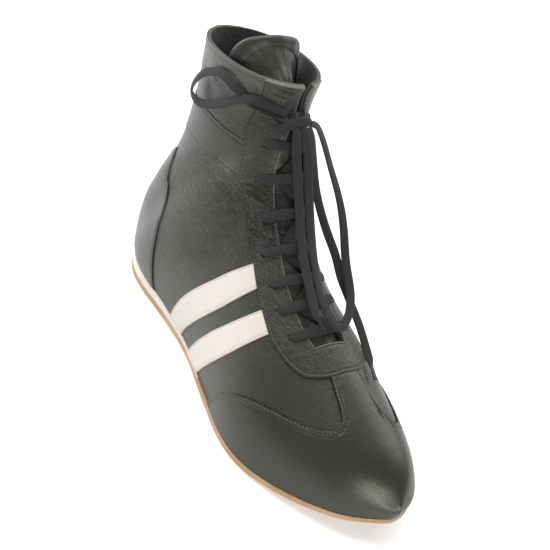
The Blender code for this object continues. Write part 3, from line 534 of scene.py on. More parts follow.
# Share of the length from the heel, outer and inner half widths as shares of the width
OUTLINE = (
    (0.000, 0.000, 0.000),
    (0.040, 0.341, 0.334),
    (0.100, 0.474, 0.460),
    (0.170, 0.511, 0.487),
    (0.270, 0.487, 0.432),
    (0.380, 0.452, 0.350),
    (0.500, 0.464, 0.323),
    (0.600, 0.499, 0.375),
    (0.680, 0.528, 0.449),
    (0.750, 0.507, 0.480),
    (0.820, 0.428, 0.461),
    (0.890, 0.313, 0.410),
    (0.950, 0.174, 0.330),
    (0.985, 0.028, 0.229),
    (1.000, -0.072, 0.072),
)
# Share of the length at the sole and at the ridge, share of the instep height, share of
# the rise to the collar, inward shift, outer and inner belly, widest place, roundness
# above and below it
FOOT = (
    (1.000, 1.000, 0.346, 0.000, 0.008, 0.000, 0.000, 0.80, 2.00, 2.00),
    (0.985, 0.972, 0.460, 0.000, 0.014, 0.029, 0.029, 0.80, 2.10, 2.00),
    (0.950, 0.925, 0.538, 0.000, 0.022, 0.058, 0.048, 0.80, 2.10, 2.00),
    (0.890, 0.860, 0.622, 0.000, 0.031, 0.078, 0.068, 0.80, 2.10, 2.00),
    (0.820, 0.785, 0.728, 0.000, 0.038, 0.097, 0.078, 0.78, 2.00, 2.00),
    (0.740, 0.705, 0.852, 0.000, 0.043, 0.116, 0.097, 0.75, 2.00, 2.00),
    (0.660, 0.632, 0.993, 0.000, 0.045, 0.126, 0.116, 0.72, 1.90, 2.00),
    (0.570, 0.562, 1.000, 0.117, 0.044, 0.145, 0.155, 0.70, 1.85, 2.00),
    (0.470, 0.505, 1.000, 0.246, 0.039, 0.175, 0.194, 0.68, 1.85, 2.05),
    (0.360, 0.460, 1.000, 0.383, 0.030, 0.197, 0.217, 0.66, 1.90, 2.15),
    (0.250, 0.428, 1.000, 0.506, 0.021, 0.225, 0.246, 0.64, 1.95, 2.30),
    (0.150, 0.406, 1.000, 0.607, 0.012, 0.282, 0.292, 0.62, 2.00, 2.50),
    (0.070, 0.392, 1.000, 0.693, 0.006, 0.361, 0.361, 0.60, 2.00, 2.65),
    (0.020, 0.384, 1.000, 0.756, 0.003, 0.434, 0.428, 0.58, 2.00, 2.70),
    (0.000, 0.380, 1.000, 0.795, 0.001, 0.493, 0.486, 0.57, 2.00, 2.70),
)
# Way up the shaft, back seam and front as shares, then the last five columns of FOOT
SHAFT = (
    (0.12, -0.007, 0.170, 0.369, 0.825, 0.527, 0.521, 0.56, 2.00, 2.60),
    (0.26, 0.003, 0.300, 0.359, 0.859, 0.518, 0.515, 0.54, 2.00, 2.40),
    (0.42, 0.034, 0.440, 0.351, 0.898, 0.484, 0.487, 0.52, 2.00, 2.25),
    (0.60, 0.059, 0.600, 0.347, 0.942, 0.463, 0.474, 0.50, 2.00, 2.20),
    (0.80, 0.062, 0.800, 0.348, 0.990, 0.464, 0.478, 0.50, 2.00, 2.20),
    (1.00, 0.047, 1.000, 0.354, 1.039, 0.479, 0.496, 0.50, 2.00, 2.20),
)
# Station, outer and inner edge of the throat, measured round the section
THROAT = (
    (0.355, 0.086, 0.086),
    (0.390, 0.104, 0.104),
    (0.430, 0.110, 0.110),
    (0.513, 0.112, 0.115),
    (0.583, 0.122, 0.120),
    (0.680, 0.118, 0.120),
    (0.797, 0.088, 0.112),
    (0.940, 0.062, 0.105),
    (1.107, 0.030, 0.100),
    (1.333, -0.004, 0.095),
    (2.000, -0.020, 0.100),
)
EYESTAY_EDGE = 0.265
NOSE_CENTRE = (0.2200, 0.0105)
NOSE_FULL = 0.0020
NOSE_DROP = 0.0030


def ease(x):
    x = np.clip(x, 0, 1)
    return x * x * (3 - 2 * x)


def sweep_angle(along):
    return np.arccos(np.clip(1 - 2 * np.asarray(along, float), -1, 1))


outline_along, outline_outer, outline_inner = zip(*OUTLINE)
outer_share = spline(sweep_angle(outline_along), outline_outer)
inner_share = spline(sweep_angle(outline_along), outline_inner)


def outline(along):
    width = HEEL_WIDTH + (BALL_WIDTH - HEEL_WIDTH) * ease((np.asarray(along) - 0.2) / 0.45)
    return -outer_share(sweep_angle(along)) * width, inner_share(sweep_angle(along)) * width


def ground(along):
    along = np.asarray(along, float)
    arch = 0.5 - 0.5 * np.cos(2 * math.pi * np.clip((along - 0.30) / 0.25, 0, 1))
    return ARCH_RISE * arch + TOE_SPRING * np.clip((along - 0.70) / 0.30, 0, 1)**2


def wedge(along):
    return MIDSOLE_HEEL * (0.5 + 0.5 * np.cos(math.pi * np.clip((np.asarray(along) - 0.12) / 0.43, 0, 1)))


def feather(along):
    return ground(along) + OUTSOLE_THICKNESS + GAP + wedge(along)


def section_rows():
    rows = []
    inside = SOLE_LENGTH - 2 * SOLE_SHOWS
    for row in FOOT:
        station = 1 - float(sweep_angle(row[0])) / math.pi
        height = row[2] * INSTEP_HEIGHT + row[3] * (COLLAR_HEIGHT - INSTEP_HEIGHT)
        width = BALL_WIDTH + float(ease((station - 0.5) / 0.7)) * (ANKLE_WIDTH - BALL_WIDTH)
        rows.append((station, SOLE_SHOWS + row[0] * inside, float(feather(row[0])),
                     SOLE_SHOWS + row[1] * inside, height, row[4] * BALL_WIDTH, row[5] * width,
                     row[6] * width, *row[7:]))
    for row in SHAFT:
        width = BALL_WIDTH + float(ease((row[0] + 0.5) / 0.7)) * (ANKLE_WIDTH - BALL_WIDTH)
        height = INSTEP_HEIGHT + row[4] * (COLLAR_HEIGHT - INSTEP_HEIGHT)
        rows.append((1 + row[0], SOLE_SHOWS + row[1] * inside, row[2] * COLLAR_HEIGHT,
                     SOLE_SHOWS + row[3] * inside, height, 0.0, row[5] * width, row[6] * width, *row[7:]))
    return np.array(rows)


sections = section_rows()
section_curves = [spline(sections[:, 0], sections[:, k]) for k in range(1, sections.shape[1])]


def unwrapped(around):
    """Distances past 1 run on over the back seam to the other side."""
    around = np.asarray(around, float)
    return np.where(around > 1, around - 2, np.where(around < -1, around + 2, around))


def rough_skin(station, around):
    """Outer face of the upper. station runs toe 0, heel 1, collar 2; around runs from the
    outer lower edge -1 over the ridge 0 to the inner lower edge 1."""
    values = [curve(station) for curve in section_curves]
    back_x, back_z, ridge_x, ridge_z, shift, outer, inner, widest, top, low = values
    on_foot = station <= 1
    along = np.where(on_foot, 0.5 * (1 + np.cos(math.pi * np.clip(station, 0, 1))), 0.0)
    back_x = np.where(on_foot, SOLE_SHOWS + along * (SOLE_LENGTH - 2 * SOLE_SHOWS), back_x)
    back_z = np.where(on_foot, feather(along), back_z)
    edge_outer, edge_inner = outline(along)
    half = (edge_inner - edge_outer) / 2 * (1 - 2 * SOLE_SHOWS / BALL_WIDTH)
    middle = np.where(on_foot, (edge_outer + edge_inner) / 2, 0.0)
    half = np.where(on_foot, half, 0.0)
    share = np.abs(around)
    wide = np.hypot(half, np.where(around < 0, outer, inner))
    ratio = np.clip(np.where(wide > 1e-9, half / np.maximum(wide, 1e-9), 1), 0, 1)
    end = np.arccos(ratio**(low / 2))
    split = SECTION_BEND
    upper_part = share < split
    angle = np.clip(share / split, 0, 1) * math.pi / 2
    fall = np.clip((share - split) / (1 - split), 0, 1)
    bend = fall * end
    drop_up = 1 - np.abs(np.cos(angle))**(2 / top)
    side_up = np.abs(np.sin(angle))**(2 / top)
    reach = np.maximum(np.sin(end), 1e-6)**(2 / low)
    drop_down = np.where(end < 1e-4, fall, np.abs(np.sin(bend))**(2 / low) / reach)
    side_down = np.abs(np.cos(bend))**(2 / low)
    drop = np.where(upper_part, widest * drop_up, widest + (1 - widest) * np.clip(drop_down, 0, 1))
    side = wide * np.where(upper_part, side_up, side_down)
    x = ridge_x + (back_x - ridge_x) * drop - HEEL_CENTRE * SOLE_LENGTH
    y = middle + shift * (1 - drop) + np.where(around < 0, -1, 1) * side
    z = ridge_z + (back_z - ridge_z) * drop
    return np.stack([x, y, z], -1)


def even_skin(station, around):
    """The same face, evened out where the foot sections meet the shaft sections."""
    station, around = np.broadcast_arrays(np.asarray(station, float), unwrapped(around))
    points = rough_skin(station, around)
    near = (np.abs(station - 1) < 0.50) & (np.abs(around) < 0.97)
    if near.any():
        station, around = station[near], around[near]
        reach = 0.17 * np.exp(-((station - 1) / 0.24)**2) * ease((0.97 - np.abs(around)) / 0.25)
        taps = np.linspace(-1, 1, 7)
        weights = (1 - taps**2 * 0.96)**2
        points[near] = sum(weight * rough_skin(station + reach * tap, around)
                           for weight, tap in zip(weights / weights.sum(), taps))
    return points


def skin_point(station, around):
    """The same face with the nose of the toe filled out, as it is over a foot."""
    station, around = np.broadcast_arrays(np.asarray(station, float), unwrapped(around))
    points = even_skin(station, around)
    full = ease((0.17 - station) / 0.17)
    out = unit(points[..., :2] - NOSE_CENTRE)
    height = points[..., 2]
    points[..., :2] += out * (NOSE_FULL * full * np.exp(-((height - 0.0245) / 0.0065)**2))[..., None]
    points[..., 2] = height - NOSE_DROP * full * ease((height - 0.019) / 0.012)
    return points


def skin_normal(station, around):
    nose_station, around = np.broadcast_arrays(np.asarray(station, float), unwrapped(around))
    station = np.clip(nose_station, 0.004, 2)
    e = 0.002
    du = skin_point(np.clip(station + e, 0, 2), around) - skin_point(np.clip(station - e, 0, 2), around)
    inward = np.where(around < 0, np.minimum(around + e, 0.999), np.minimum(around + e, 1.0))
    dv = skin_point(station, inward) - skin_point(station, np.maximum(around - e, -1.0))
    normal = unit(np.cross(dv, du))
    normal[..., 1] = np.where((np.abs(around) > 0.9995) & (station > 0.9995), 0.0, normal[..., 1])
    normal[..., 1] *= ease(nose_station / 0.02)
    return unit(normal)


throat_station, throat_outer_at, throat_inner_at = zip(*THROAT)
throat_outer = spline(throat_station, throat_outer_at)
throat_inner = spline(throat_station, throat_inner_at)


def station_at_height(around, height):
    stations = np.linspace(0.70, 2.0, 131)
    return float(np.interp(height, skin_point(stations, np.full_like(stations, around))[:, 2], stations))


# Creases that wear and lacing have put in the leather, as soft troughs with a ridge on
# each side. Columns: depth and half width in millimetres, then station and distance
# round the section of each point along the crease
CREASES = (
    (0.30, 1.3, (1.077, -0.464), (0.827, -0.384), (0.727, -0.348), (0.673, -0.328)),
    (0.28, 1.2, (1.067, -0.432), (0.817, -0.352), (0.720, -0.316), (0.670, -0.296)),
    (0.30, 1.5, (1.083, -0.500), (0.833, -0.420), (0.723, -0.384), (0.657, -0.356)),
    (0.25, 1.6, (1.060, -0.532), (0.820, -0.456), (0.720, -0.424), (0.660, -0.400)),
    (0.30, 1.1, (0.930, -0.384), (0.777, -0.320), (0.697, -0.292)),
    (0.28, 1.0, (0.823, -0.340), (0.737, -0.308), (0.677, -0.288)),
    (0.45, 2.2, (0.683, -0.592), (0.660, -0.512), (0.627, -0.428), (0.590, -0.336)),
    (0.40, 1.6, (0.667, -0.452), (0.647, -0.392), (0.623, -0.316)),
    (0.40, 1.3, (0.677, -0.392), (0.657, -0.344), (0.643, -0.296)),
    (0.35, 1.2, (0.700, -0.352), (0.683, -0.316), (0.673, -0.280)),
    (0.60, 1.6, (0.610, -0.276), (0.590, -0.232), (0.567, -0.188), (0.543, -0.148)),
    (0.70, 1.2, (0.747, -0.236), (0.710, -0.200), (0.663, -0.156)),
    (0.65, 1.1, (0.717, -0.240), (0.680, -0.204), (0.647, -0.168)),
    (0.60, 1.1, (0.780, -0.232), (0.740, -0.184), (0.697, -0.140)),
    (0.55, 1.0, (0.820, -0.236), (0.785, -0.190), (0.740, -0.150)),
    (0.30, 1.0, (0.517, -0.428), (0.517, -0.476), (0.517, -0.520)),
    (0.30, 1.0, (0.507, -0.384), (0.503, -0.432), (0.500, -0.468)),
    (0.50, 5.0, (1.917, -0.704), (1.827, -0.640), (1.730, -0.624)),
    (0.50, 5.0, (1.933, -0.568), (1.820, -0.504), (1.673, -0.460)),
    (1.30, 3.0, (1.910, -0.368), (1.807, -0.316), (1.697, -0.264)),
    (0.60, 1.6, (1.857, -0.392), (1.753, -0.352), (1.637, -0.316)),
    (0.50, 1.1, (1.930, -0.232), (1.803, -0.120), (1.647, -0.030)),
    (0.45, 1.0, (1.827, -0.224), (1.640, -0.108), (1.483, -0.030)),
    (0.40, 1.0, (1.700, -0.196), (1.527, -0.096), (1.377, -0.020)),
    (0.30, 1.4, (1.040, 0.500), (0.840, 0.410), (0.730, 0.370), (0.670, 0.340)),
    (0.30, 1.2, (1.080, 0.450), (0.850, 0.370), (0.740, 0.330), (0.690, 0.300)),
    (0.45, 2.0, (0.700, 0.580), (0.665, 0.500), (0.632, 0.420), (0.600, 0.330)),
    (0.40, 1.5, (0.680, 0.440), (0.655, 0.390), (0.630, 0.310)),
    (0.40, 1.4, (0.600, 0.270), (0.580, 0.220), (0.560, 0.160)),
    (0.50, 5.0, (1.930, 0.600), (1.820, 0.540), (1.700, 0.500)),
    (0.80, 3.0, (1.900, 0.360), (1.800, 0.320), (1.700, 0.290)),
    (0.45, 0.9, (1.893, -0.238), (1.830, -0.130), (1.729, -0.010)),
    (0.45, 0.9, (1.789, -0.237), (1.690, -0.120), (1.559, -0.010)),
    (0.40, 0.8, (1.720, -0.233), (1.600, -0.130), (1.434, -0.020)),
)


def to_line(points, line):
    """Distance from points to a run of straight stretches, and the share of the way along."""
    best = np.full(points.shape[:-1], 1e9)
    where = np.zeros(points.shape[:-1])
    marks = lengths(line) / max(lengths(line)[-1], 1e-9)
    for k in range(len(line) - 1):
        stretch = line[k + 1] - line[k]
        share = np.clip(((points - line[k]) @ stretch) / max(stretch @ stretch, 1e-12), 0, 1)
        distance = np.linalg.norm(points - line[k] - share[..., None] * stretch, axis=-1)
        nearer = distance < best
        best = np.where(nearer, distance, best)
        where = np.where(nearer, marks[k] + share * (marks[k + 1] - marks[k]), where)
    return best, where


crease_lines = []
for depth, half, *marks in CREASES:
    marks = np.array(marks)
    fine = np.linspace(0, len(marks) - 1, 4 * len(marks))
    stations = spline(np.arange(len(marks)), marks[:, 0])(fine)
    arounds = spline(np.arange(len(marks)), marks[:, 1])(fine)
    crease_lines.append((depth * 0.001, half * 0.001, skin_point(stations, arounds)))


def relief(points):
    """Height of the creases and of the soft unevenness of worn leather, in metres."""
    total = np.zeros(points.shape[:-1])
    for depth, half, line in crease_lines:
        low, high = line.min(0) - 4 * half, line.max(0) + 4 * half
        near = ((points > low) & (points < high)).all(-1)
        if not near.any():
            continue
        distance, share = to_line(points[near], line)
        trough = -np.exp(-(distance / half)**2) + 0.4 * np.exp(-((distance - 1.9 * half) / half)**2)
        total[near] += depth * trough * np.sin(math.pi * np.clip(share, 0.02, 0.98))**0.5
    x, y, z = points[..., 0], points[..., 1], points[..., 2]
    soft = (np.sin(95 * x + 40 * z + 3 * np.sin(60 * y)) * np.sin(80 * z - 30 * x + 1.3)
            + 0.5 * np.sin(170 * z + 60 * x))
    return total + 0.00022 * soft * ease((z - 0.03) / 0.05)


def surface(station, around, lift):
    """Point at a height over the creased outer face of the upper."""
    base = skin_point(station, around)
    return base + skin_normal(station, around) * (relief(base) + lift)[..., None]


def merged(points, reach):
    """First of the points that fall together, and which of these each point is."""
    _, first, same = np.unique(np.round(points / reach).astype(np.int64), axis=0, return_index=True,
                               return_inverse=True)
    return first, same.ravel()


def without_repeats(faces):
    """Faces with repeated corners dropped, and without those that fall flat."""
    kept = []
    for face in faces:
        face = [v for k, v in enumerate(face) if v != face[k - 1]]
        if len(set(face)) > 2 and len(set(face)) == len(face):
            kept.append(face)
    return kept


def solid_between(name, top, bottom, look, keep=None, attributes=None):
    """Closed solid between two grids of points; its open edges are bridged. Grid cells where
    keep is false are left out, and points that fall together are joined."""
    rows, columns = top.shape[:2]
    count = rows * columns
    grid = np.arange(count).reshape(rows, columns)
    quads = np.stack([grid[:-1, :-1], grid[1:, :-1], grid[1:, 1:], grid[:-1, 1:]], -1)
    quads = quads.reshape(-1, 4) if keep is None else quads[np.asarray(keep, bool)]
    points = np.concatenate([top.reshape(-1, 3), bottom.reshape(-1, 3)])
    first, same = merged(points, 2e-6)
    above, below = same[quads], same[quads + count]
    starts, ends = above.ravel(), np.roll(above, -1, 1).ravel()
    low_starts, low_ends = below.ravel(), np.roll(below, -1, 1).ravel()
    key = np.minimum(starts, ends).astype(np.int64) * (len(first) + 1) + np.maximum(starts, ends)
    _, inverse, uses = np.unique(key, return_inverse=True, return_counts=True)
    edge = (starts != ends) & (uses[inverse.ravel()] == 1)
    sides = np.stack([ends[edge], starts[edge], low_starts[edge], low_ends[edge]], -1)
    faces = without_repeats(np.concatenate([above, below[:, ::-1], sides]).tolist())
    piece = new_mesh(name, points[first], faces, look)
    for label, values in (attributes or {}).items():
        layer = piece.data.attributes.new(label, "FLOAT", "POINT")
        layer.data.foreach_set("value", np.concatenate([values.ravel(), values.ravel()])[first])
    return piece


# Upper: one hollow leather wall from the toe to the collar, smooth on the outside and
# lined with grey napped leather. The throat is open and the lace holes go through.
WALL = 0.002
THROAT_START = 0.355
HOLE_ROOM = 0.0026
LEATHER = (0.0225, 0.0230, 0.0180)
LINING = (0.085, 0.086, 0.080)
# Grey of the raw cut edge, partly painted highlight along the edge
CUT_EDGE_AND_HIGHLIGHT = (0.13, 0.128, 0.115)
# Lace holes: station, outer and inner distance from the ridge
EYELETS = (
    (0.383, 0.176, 0.176),
    (0.427, 0.184, 0.184),
    (0.470, 0.192, 0.192),
    (0.533, 0.204, 0.200),
    (0.620, 0.208, 0.204),
    (0.740, 0.190, 0.200),
    (0.940, 0.168, 0.196),
    (1.300, 0.118, 0.190),
)


def leather_finish(name, colour, roughness=0.40, wrinkle=1.0, back_colour=None, painted_edge_shadow=False, rim_light=0.0):
    """Smooth aniline leather: fine pores, stretched wrinkles where it flexes, uneven dye
    and dull rubbed places. Painted shade darkens the troughs of the fine wrinkles; overlays get
    a painted shadow line along their open edges and a paler cut-edge grey that is partly
    painted highlight."""
    finish = Finish(name)
    where = finish.place()
    x, y, z = finish.axes(where)
    pores = finish.cells(where, 1500.0)
    grain = finish.noise(where, 900.0, 4.0, 0.6)
    clouds = finish.noise(where, 26.0, 3.0, 0.55, 0.4)
    rubbed = finish.noise(where, 60.0, 5.0, 0.65).ramp(0.52, 0.78)
    slanted = finish.turned(where, (130.0, 330.0, 620.0), (0.0, math.radians(-12), 0.0))
    fine = finish.noise(slanted, 1.0, 4.0, 0.62, 0.9)
    folds = finish.noise(slanted, 0.33, 3.0, 0.55, 1.2)
    # The ankle flexes most; its front, up to the eyestay, is also rubbed glossy
    flex = x.ramp(0.000, 0.045) * x.ramp(0.110, 0.080) * z.ramp(0.040, 0.075) * z.ramp(0.140, 0.115)
    flex = flex * 0.93 + 0.07
    glossy = x.ramp(0.046, 0.066) * z.ramp(0.060, 0.085)
    base = finish.blend(clouds, tinted(colour, 0.80), tinted(colour, 1.18))
    dusty = tinted(colour, 1.9, 0.012)
    base = finish.blend(rubbed * 0.16 + (1 - pores.ramp(0.0, 0.35)) * 0.10, base, dusty)
    # Painted shade: where the leather flexes, it is darkened in the troughs of the fine wrinkles
    base = finish.blend(flex * (1 - fine.ramp(0.34, 0.50)) * 0.38, base, tinted(colour, 0.30))
    # Painted shadow: a dark line along the open edges of an overlay, where it steps up from the upper
    if painted_edge_shadow:
        inset = finish.painted("inset")
        base = finish.blend((1 - inset.ramp(0.0, 0.0011)) * 0.9, base, tinted(colour, 0.15))
    # Paler grey of the raw cut edge along the open edges, partly painted highlight on the edge
    if rim_light:
        rim = finish.painted("rim")
        base = finish.blend((1 - rim.ramp(0.0004, 0.0011)) * rim_light, base, CUT_EDGE_AND_HIGHLIGHT)
    finish.feed("Base Color", base)
    finish.feed("Roughness", grain * 0.10 + clouds * 0.12 + rubbed * 0.10 - flex * 0.07
                - flex * glossy * 0.10 + (roughness - 0.09))
    finish.settle(Specular_IOR_Level=0.55, Specular_Tint=(1.0, 1.0, 0.86, 1.0), Coat_Weight=0.10,
                  Coat_Roughness=0.30)
    depth = flex * wrinkle * (glossy * 0.8 + 1.0)
    creased = finish.bump(fine.ramp(0.25, 0.75) * depth + folds.ramp(0.3, 0.7) * depth * 1.1, 0.00150)
    finish.feed("Normal", finish.bump(grain * 0.6 + pores * 0.5, 0.00010, creased))
    if back_colour is not None:
        inside = finish.painted("inside")
        nap = finish.noise(where, 700.0, 4.0, 0.7)
        cloth = finish.blend(nap.ramp(0.3, 0.75), tinted(back_colour, 0.55), tinted(back_colour, 1.5))
        finish.feed("Base Color", finish.blend(inside, base, cloth))
        smooth = grain * 0.10 + clouds * 0.12 + (roughness - 0.11)
        finish.feed("Roughness", finish.node("ShaderNodeMix", {"data_type": "FLOAT"},
                                             {0: inside, 2: smooth, 3: 0.85}))
    return finish.material


upper_look = leather_finish("upper_leather", LEATHER, back_colour=LINING)
upper_rows = np.unique(np.concatenate([np.linspace(0, 0.06, 10), np.linspace(0.06, 1.0, 130),
                                       np.linspace(1.0, 2.0, 92)]))
side_steps = np.linspace(0, 1, 66)
slot_shares = np.linspace(-1, 1, 9)[1:-1]
edge_outer = throat_outer(np.maximum(upper_rows, THROAT_START))
edge_inner = throat_inner(np.maximum(upper_rows, THROAT_START))
outer_side = -(edge_outer[:, None] + (1 - edge_outer[:, None]) * side_steps[None, ::-1])
inner_side = edge_inner[:, None] + (1 - edge_inner[:, None]) * side_steps[None, :]
middle = ((edge_inner - edge_outer)[:, None] / 2
          + slot_shares[None, :] * (edge_inner + edge_outer)[:, None] / 2)
upper_around = np.concatenate([outer_side, middle, inner_side], 1)
upper_station = np.broadcast_to(upper_rows[:, None], upper_around.shape)
slot_low = len(side_steps) - 1
slot_high = slot_low + len(slot_shares) + 1
centre_row = (upper_rows[:-1] + upper_rows[1:]) / 2
keep = np.ones((len(upper_rows) - 1, upper_around.shape[1] - 1), bool)
keep[np.ix_(centre_row > THROAT_START, range(slot_low, slot_high))] = False
outer_face = surface(upper_station, upper_around, np.zeros_like(upper_around))
cell_centres = (outer_face[:-1, :-1] + outer_face[1:, 1:]) / 2
for station, outer_at, inner_at in EYELETS:
    for around in (-outer_at, inner_at):
        hole = skin_point(station, around)
        keep &= np.linalg.norm(cell_centres - hole, axis=-1) > HOLE_ROOM
inner_face = surface(upper_station, upper_around, np.full_like(upper_around, -WALL))
upper = solid_between("upper_leather_wall", outer_face, inner_face, upper_look, keep)
inside = upper.data.attributes.new("inside", "FLOAT", "POINT")
seen = np.empty(len(upper.data.vertices) * 3)
upper.data.vertices.foreach_get("co", seen)
keys = {tuple(p) for p in np.round(inner_face.reshape(-1, 3) / 1e-6).astype(np.int64).tolist()}
marks = [float(tuple(p) in keys) for p in np.round(seen.reshape(-1, 3) / 1e-6).astype(np.int64).tolist()]
inside.data.foreach_set("value", marks)
dress(upper, "upper")


# Overlays: leather pieces laid on the upper and sewn down near their edges. A piece is
# given by two edge lines in station and distance round; its open edges are rounded.
EDGE_ROUND = 0.0007
UNDER = 0.0005
SEAM_DEPTH = 0.00032
SEAM_HALF = 0.0005
seams = {"dark": [], "light": []}


def patch(name, low_line, high_line, look, height, open_edges, stitches=(0.0018,), thread="dark",
          spacing=0.0014, sewn=None):
    """Leather piece between two lines. open_edges names those that show: low, high, start
    and end. stitches are distances of the seams from the open edges, sewn the edges that
    have them, if not all. Its underside is sunk in the upper by UNDER."""
    low_line, high_line = np.array(low_line, float), np.array(high_line, float)
    middle_run = skin_point(*((low_line + high_line) / 2).T)
    at = lengths(middle_run)
    insets = sorted({0.0, 0.00025, 0.0006,
                     *[round(stitch + k * 0.0004, 6) for stitch in stitches for k in (-1, 0, 1)]})

    def marks(total, count, first, last):
        scale = min(1.0, total / (2 * insets[-1] + 0.002))
        start = np.array(insets if first else [0.0]) * scale
        end = total - np.array(insets if last else [0.0])[::-1] * scale
        return np.concatenate([start[:-1], np.linspace(start[-1], end[0], count), end[1:]])

    rows = marks(at[-1], max(3, int(at[-1] / spacing)), "start" in open_edges, "end" in open_edges)
    low_rows, high_rows = read_off(low_line, at, rows), read_off(high_line, at, rows)
    fine = np.linspace(0, 1, 61)
    path = low_rows[:, None] + (high_rows - low_rows)[:, None] * fine[None, :, None]
    fine_points = skin_point(path[..., 0], path[..., 1])
    steps = np.linalg.norm(np.diff(fine_points, axis=1), axis=-1)
    runs = np.concatenate([np.zeros((len(rows), 1)), np.cumsum(steps, 1)], 1)
    count = max(3, int(runs[:, -1].max() / spacing))
    shares = np.array([np.interp(marks(run[-1], count, "low" in open_edges, "high" in open_edges), run, fine)
                       for run in runs])
    grid = low_rows[:, None] + (high_rows - low_rows)[:, None] * shares[..., None]
    station, around = grid[..., 0], grid[..., 1]
    base = skin_point(station, around)
    borders = {"low": base[:, 0], "high": base[:, -1], "start": base[0], "end": base[-1]}
    inset = np.full(base.shape[:-1], 1.0)
    rim = np.full(base.shape[:-1], 1.0)
    for edge in open_edges:
        border = borders[edge]
        fine_border = evenly(border, 4 * len(border))
        for row in range(len(base)):
            away = np.linalg.norm(base[row][:, None] - fine_border[None], axis=-1).min(1)
            inset[row] = np.minimum(inset[row], away)
            rim[row] = rim[row] if edge == "low" else np.minimum(rim[row], away)
    rounding = np.sqrt(1 - (1 - np.clip(inset / EDGE_ROUND, 0, 1))**2)
    lift = height * (0.45 + 0.55 * rounding)
    for stitch in stitches:
        lift = lift - SEAM_DEPTH * np.exp(-((inset - stitch) / SEAM_HALF)**2)
    normal = skin_normal(station, around)
    ground_relief = relief(base)[..., None]
    top = base + normal * (ground_relief + lift[..., None])
    bottom = base + normal * (ground_relief - UNDER)
    # Faces look outwards whichever way the two lines run
    first, second = top[1:, :-1] - top[:-1, :-1], top[:-1, 1:] - top[:-1, :-1]
    order = slice(None, None, -1 if (np.cross(first, second) * normal[:-1, :-1]).sum() < 0 else 1)
    piece = solid_between(name, top[:, order], bottom[:, order], look,
                          attributes={"inset": inset[:, order], "rim": rim[:, order]})
    for edge in (open_edges if sewn is None else sewn):
        for stitch in stitches:
            k = insets.index(round(stitch, 6))
            if edge in ("low", "high"):
                column = k if edge == "low" else -1 - k
                first_row = k if "start" in open_edges else 0
                last_row = len(rows) - (k if "end" in open_edges else 0)
                line = np.s_[first_row:last_row, column]
            else:
                row = k if edge == "start" else -1 - k
                last_column = base.shape[1] - (k if "high" in open_edges else 0)
                line = np.s_[row, (k if "low" in open_edges else 0):last_column]
            seams[thread].append((top[line], normal[line]))
    return piece


def overlay_finish(name, colour, **more):
    return leather_finish(name, colour, painted_edge_shadow=True, **more)


# White side bands: two plain strips of coated leather on each side. They start under the
# eyestay, run down to the sole and are sewn along both edges.
BAND_HEIGHT = 0.0009
TUCKED = 0.012
BAND_WHITE = (0.625, 0.575, 0.530)
BAND_DARKER = (0.42, 0.36, 0.29)
# Distance round the section, then the two edges of the rear and of the front band as
# stations. The section changes its formula at SECTION_BEND, so the edges bend there.
BANDS = (
    (0.25, 0.5299, 0.4831, 0.4456, 0.4076),
    (0.31, 0.5420, 0.4920, 0.4555, 0.4156),
    (0.37, 0.5559, 0.5024, 0.4673, 0.4249),
    (0.43, 0.5698, 0.5137, 0.4806, 0.4355),
    (0.49, 0.5834, 0.5260, 0.4945, 0.4473),
    (0.55, 0.5971, 0.5392, 0.5079, 0.4603),
    (0.60, 0.6075, 0.5494, 0.5173, 0.4703),
    (0.68, 0.6167, 0.5590, 0.5258, 0.4788),
    (0.77, 0.6220, 0.5685, 0.5341, 0.4879),
    (0.88, 0.6262, 0.5788, 0.5433, 0.4984),
    (1.00, 0.6297, 0.5852, 0.5531, 0.5085),
)


def band_finish():
    """Coated leather: almost smooth, slightly pebbled, darker towards the edges and in patches of grey dirt.
    """
    finish = Finish("white_band_leather")
    where = finish.place()
    inset = finish.painted("inset")
    grain = finish.noise(where, 1200.0, 3.0, 0.6)
    clouds = finish.noise(where, 45.0, 4.0, 0.6)
    # Darker towards the open edges, and darker in random patches of dirt
    dirt = (1 - inset.ramp(0.0, 0.0016)) * 0.55 + clouds.ramp(0.52, 0.80) * 0.22
    finish.feed("Base Color", finish.blend(dirt, BAND_WHITE, BAND_DARKER))
    finish.feed("Roughness", grain * 0.15 + clouds * 0.10 + 0.38)
    finish.feed("Normal", finish.bump(grain * 0.6 + clouds * 0.8, 0.00012))
    return finish.material


def bent_line(xs, ys):
    """Two smooth lines that meet where the section changes its formula."""
    bend = xs.index(SECTION_BEND)
    above, below = spline(xs[:bend + 1], ys[:bend + 1]), spline(xs[bend:], ys[bend:])
    return lambda x: np.where(x < SECTION_BEND, above(x), below(x))


band_look = band_finish()
SIDES = (("outer", -1), ("inner", 1))
band_columns = list(zip(*BANDS))
for place, edge_columns in (("rear", (2, 1)), ("front", (4, 3))):
    low_edge, high_edge = [bent_line(band_columns[0], band_columns[k]) for k in edge_columns]
    for side_name, side in SIDES:
        arounds = np.linspace(EYESTAY_EDGE - TUCKED, 1.0, 90)
        band = patch(f"white_band_{place}_{side_name}", np.stack([low_edge(arounds), side * arounds], -1),
                     np.stack([high_edge(arounds), side * arounds], -1), band_look, BAND_HEIGHT,
                     ("low", "high"), stitches=(0.0014,), thread="light")
        dress(band, f"side_band_{place}_{side_name}")


# Toe vamp: the toe cap with a stem that runs up to the lacing. It lies on the quarters
# and is held by two rows of black stitches.
VAMP_HEIGHT = 0.0013
VAMP_COLOUR = (0.0172, 0.0176, 0.0136)
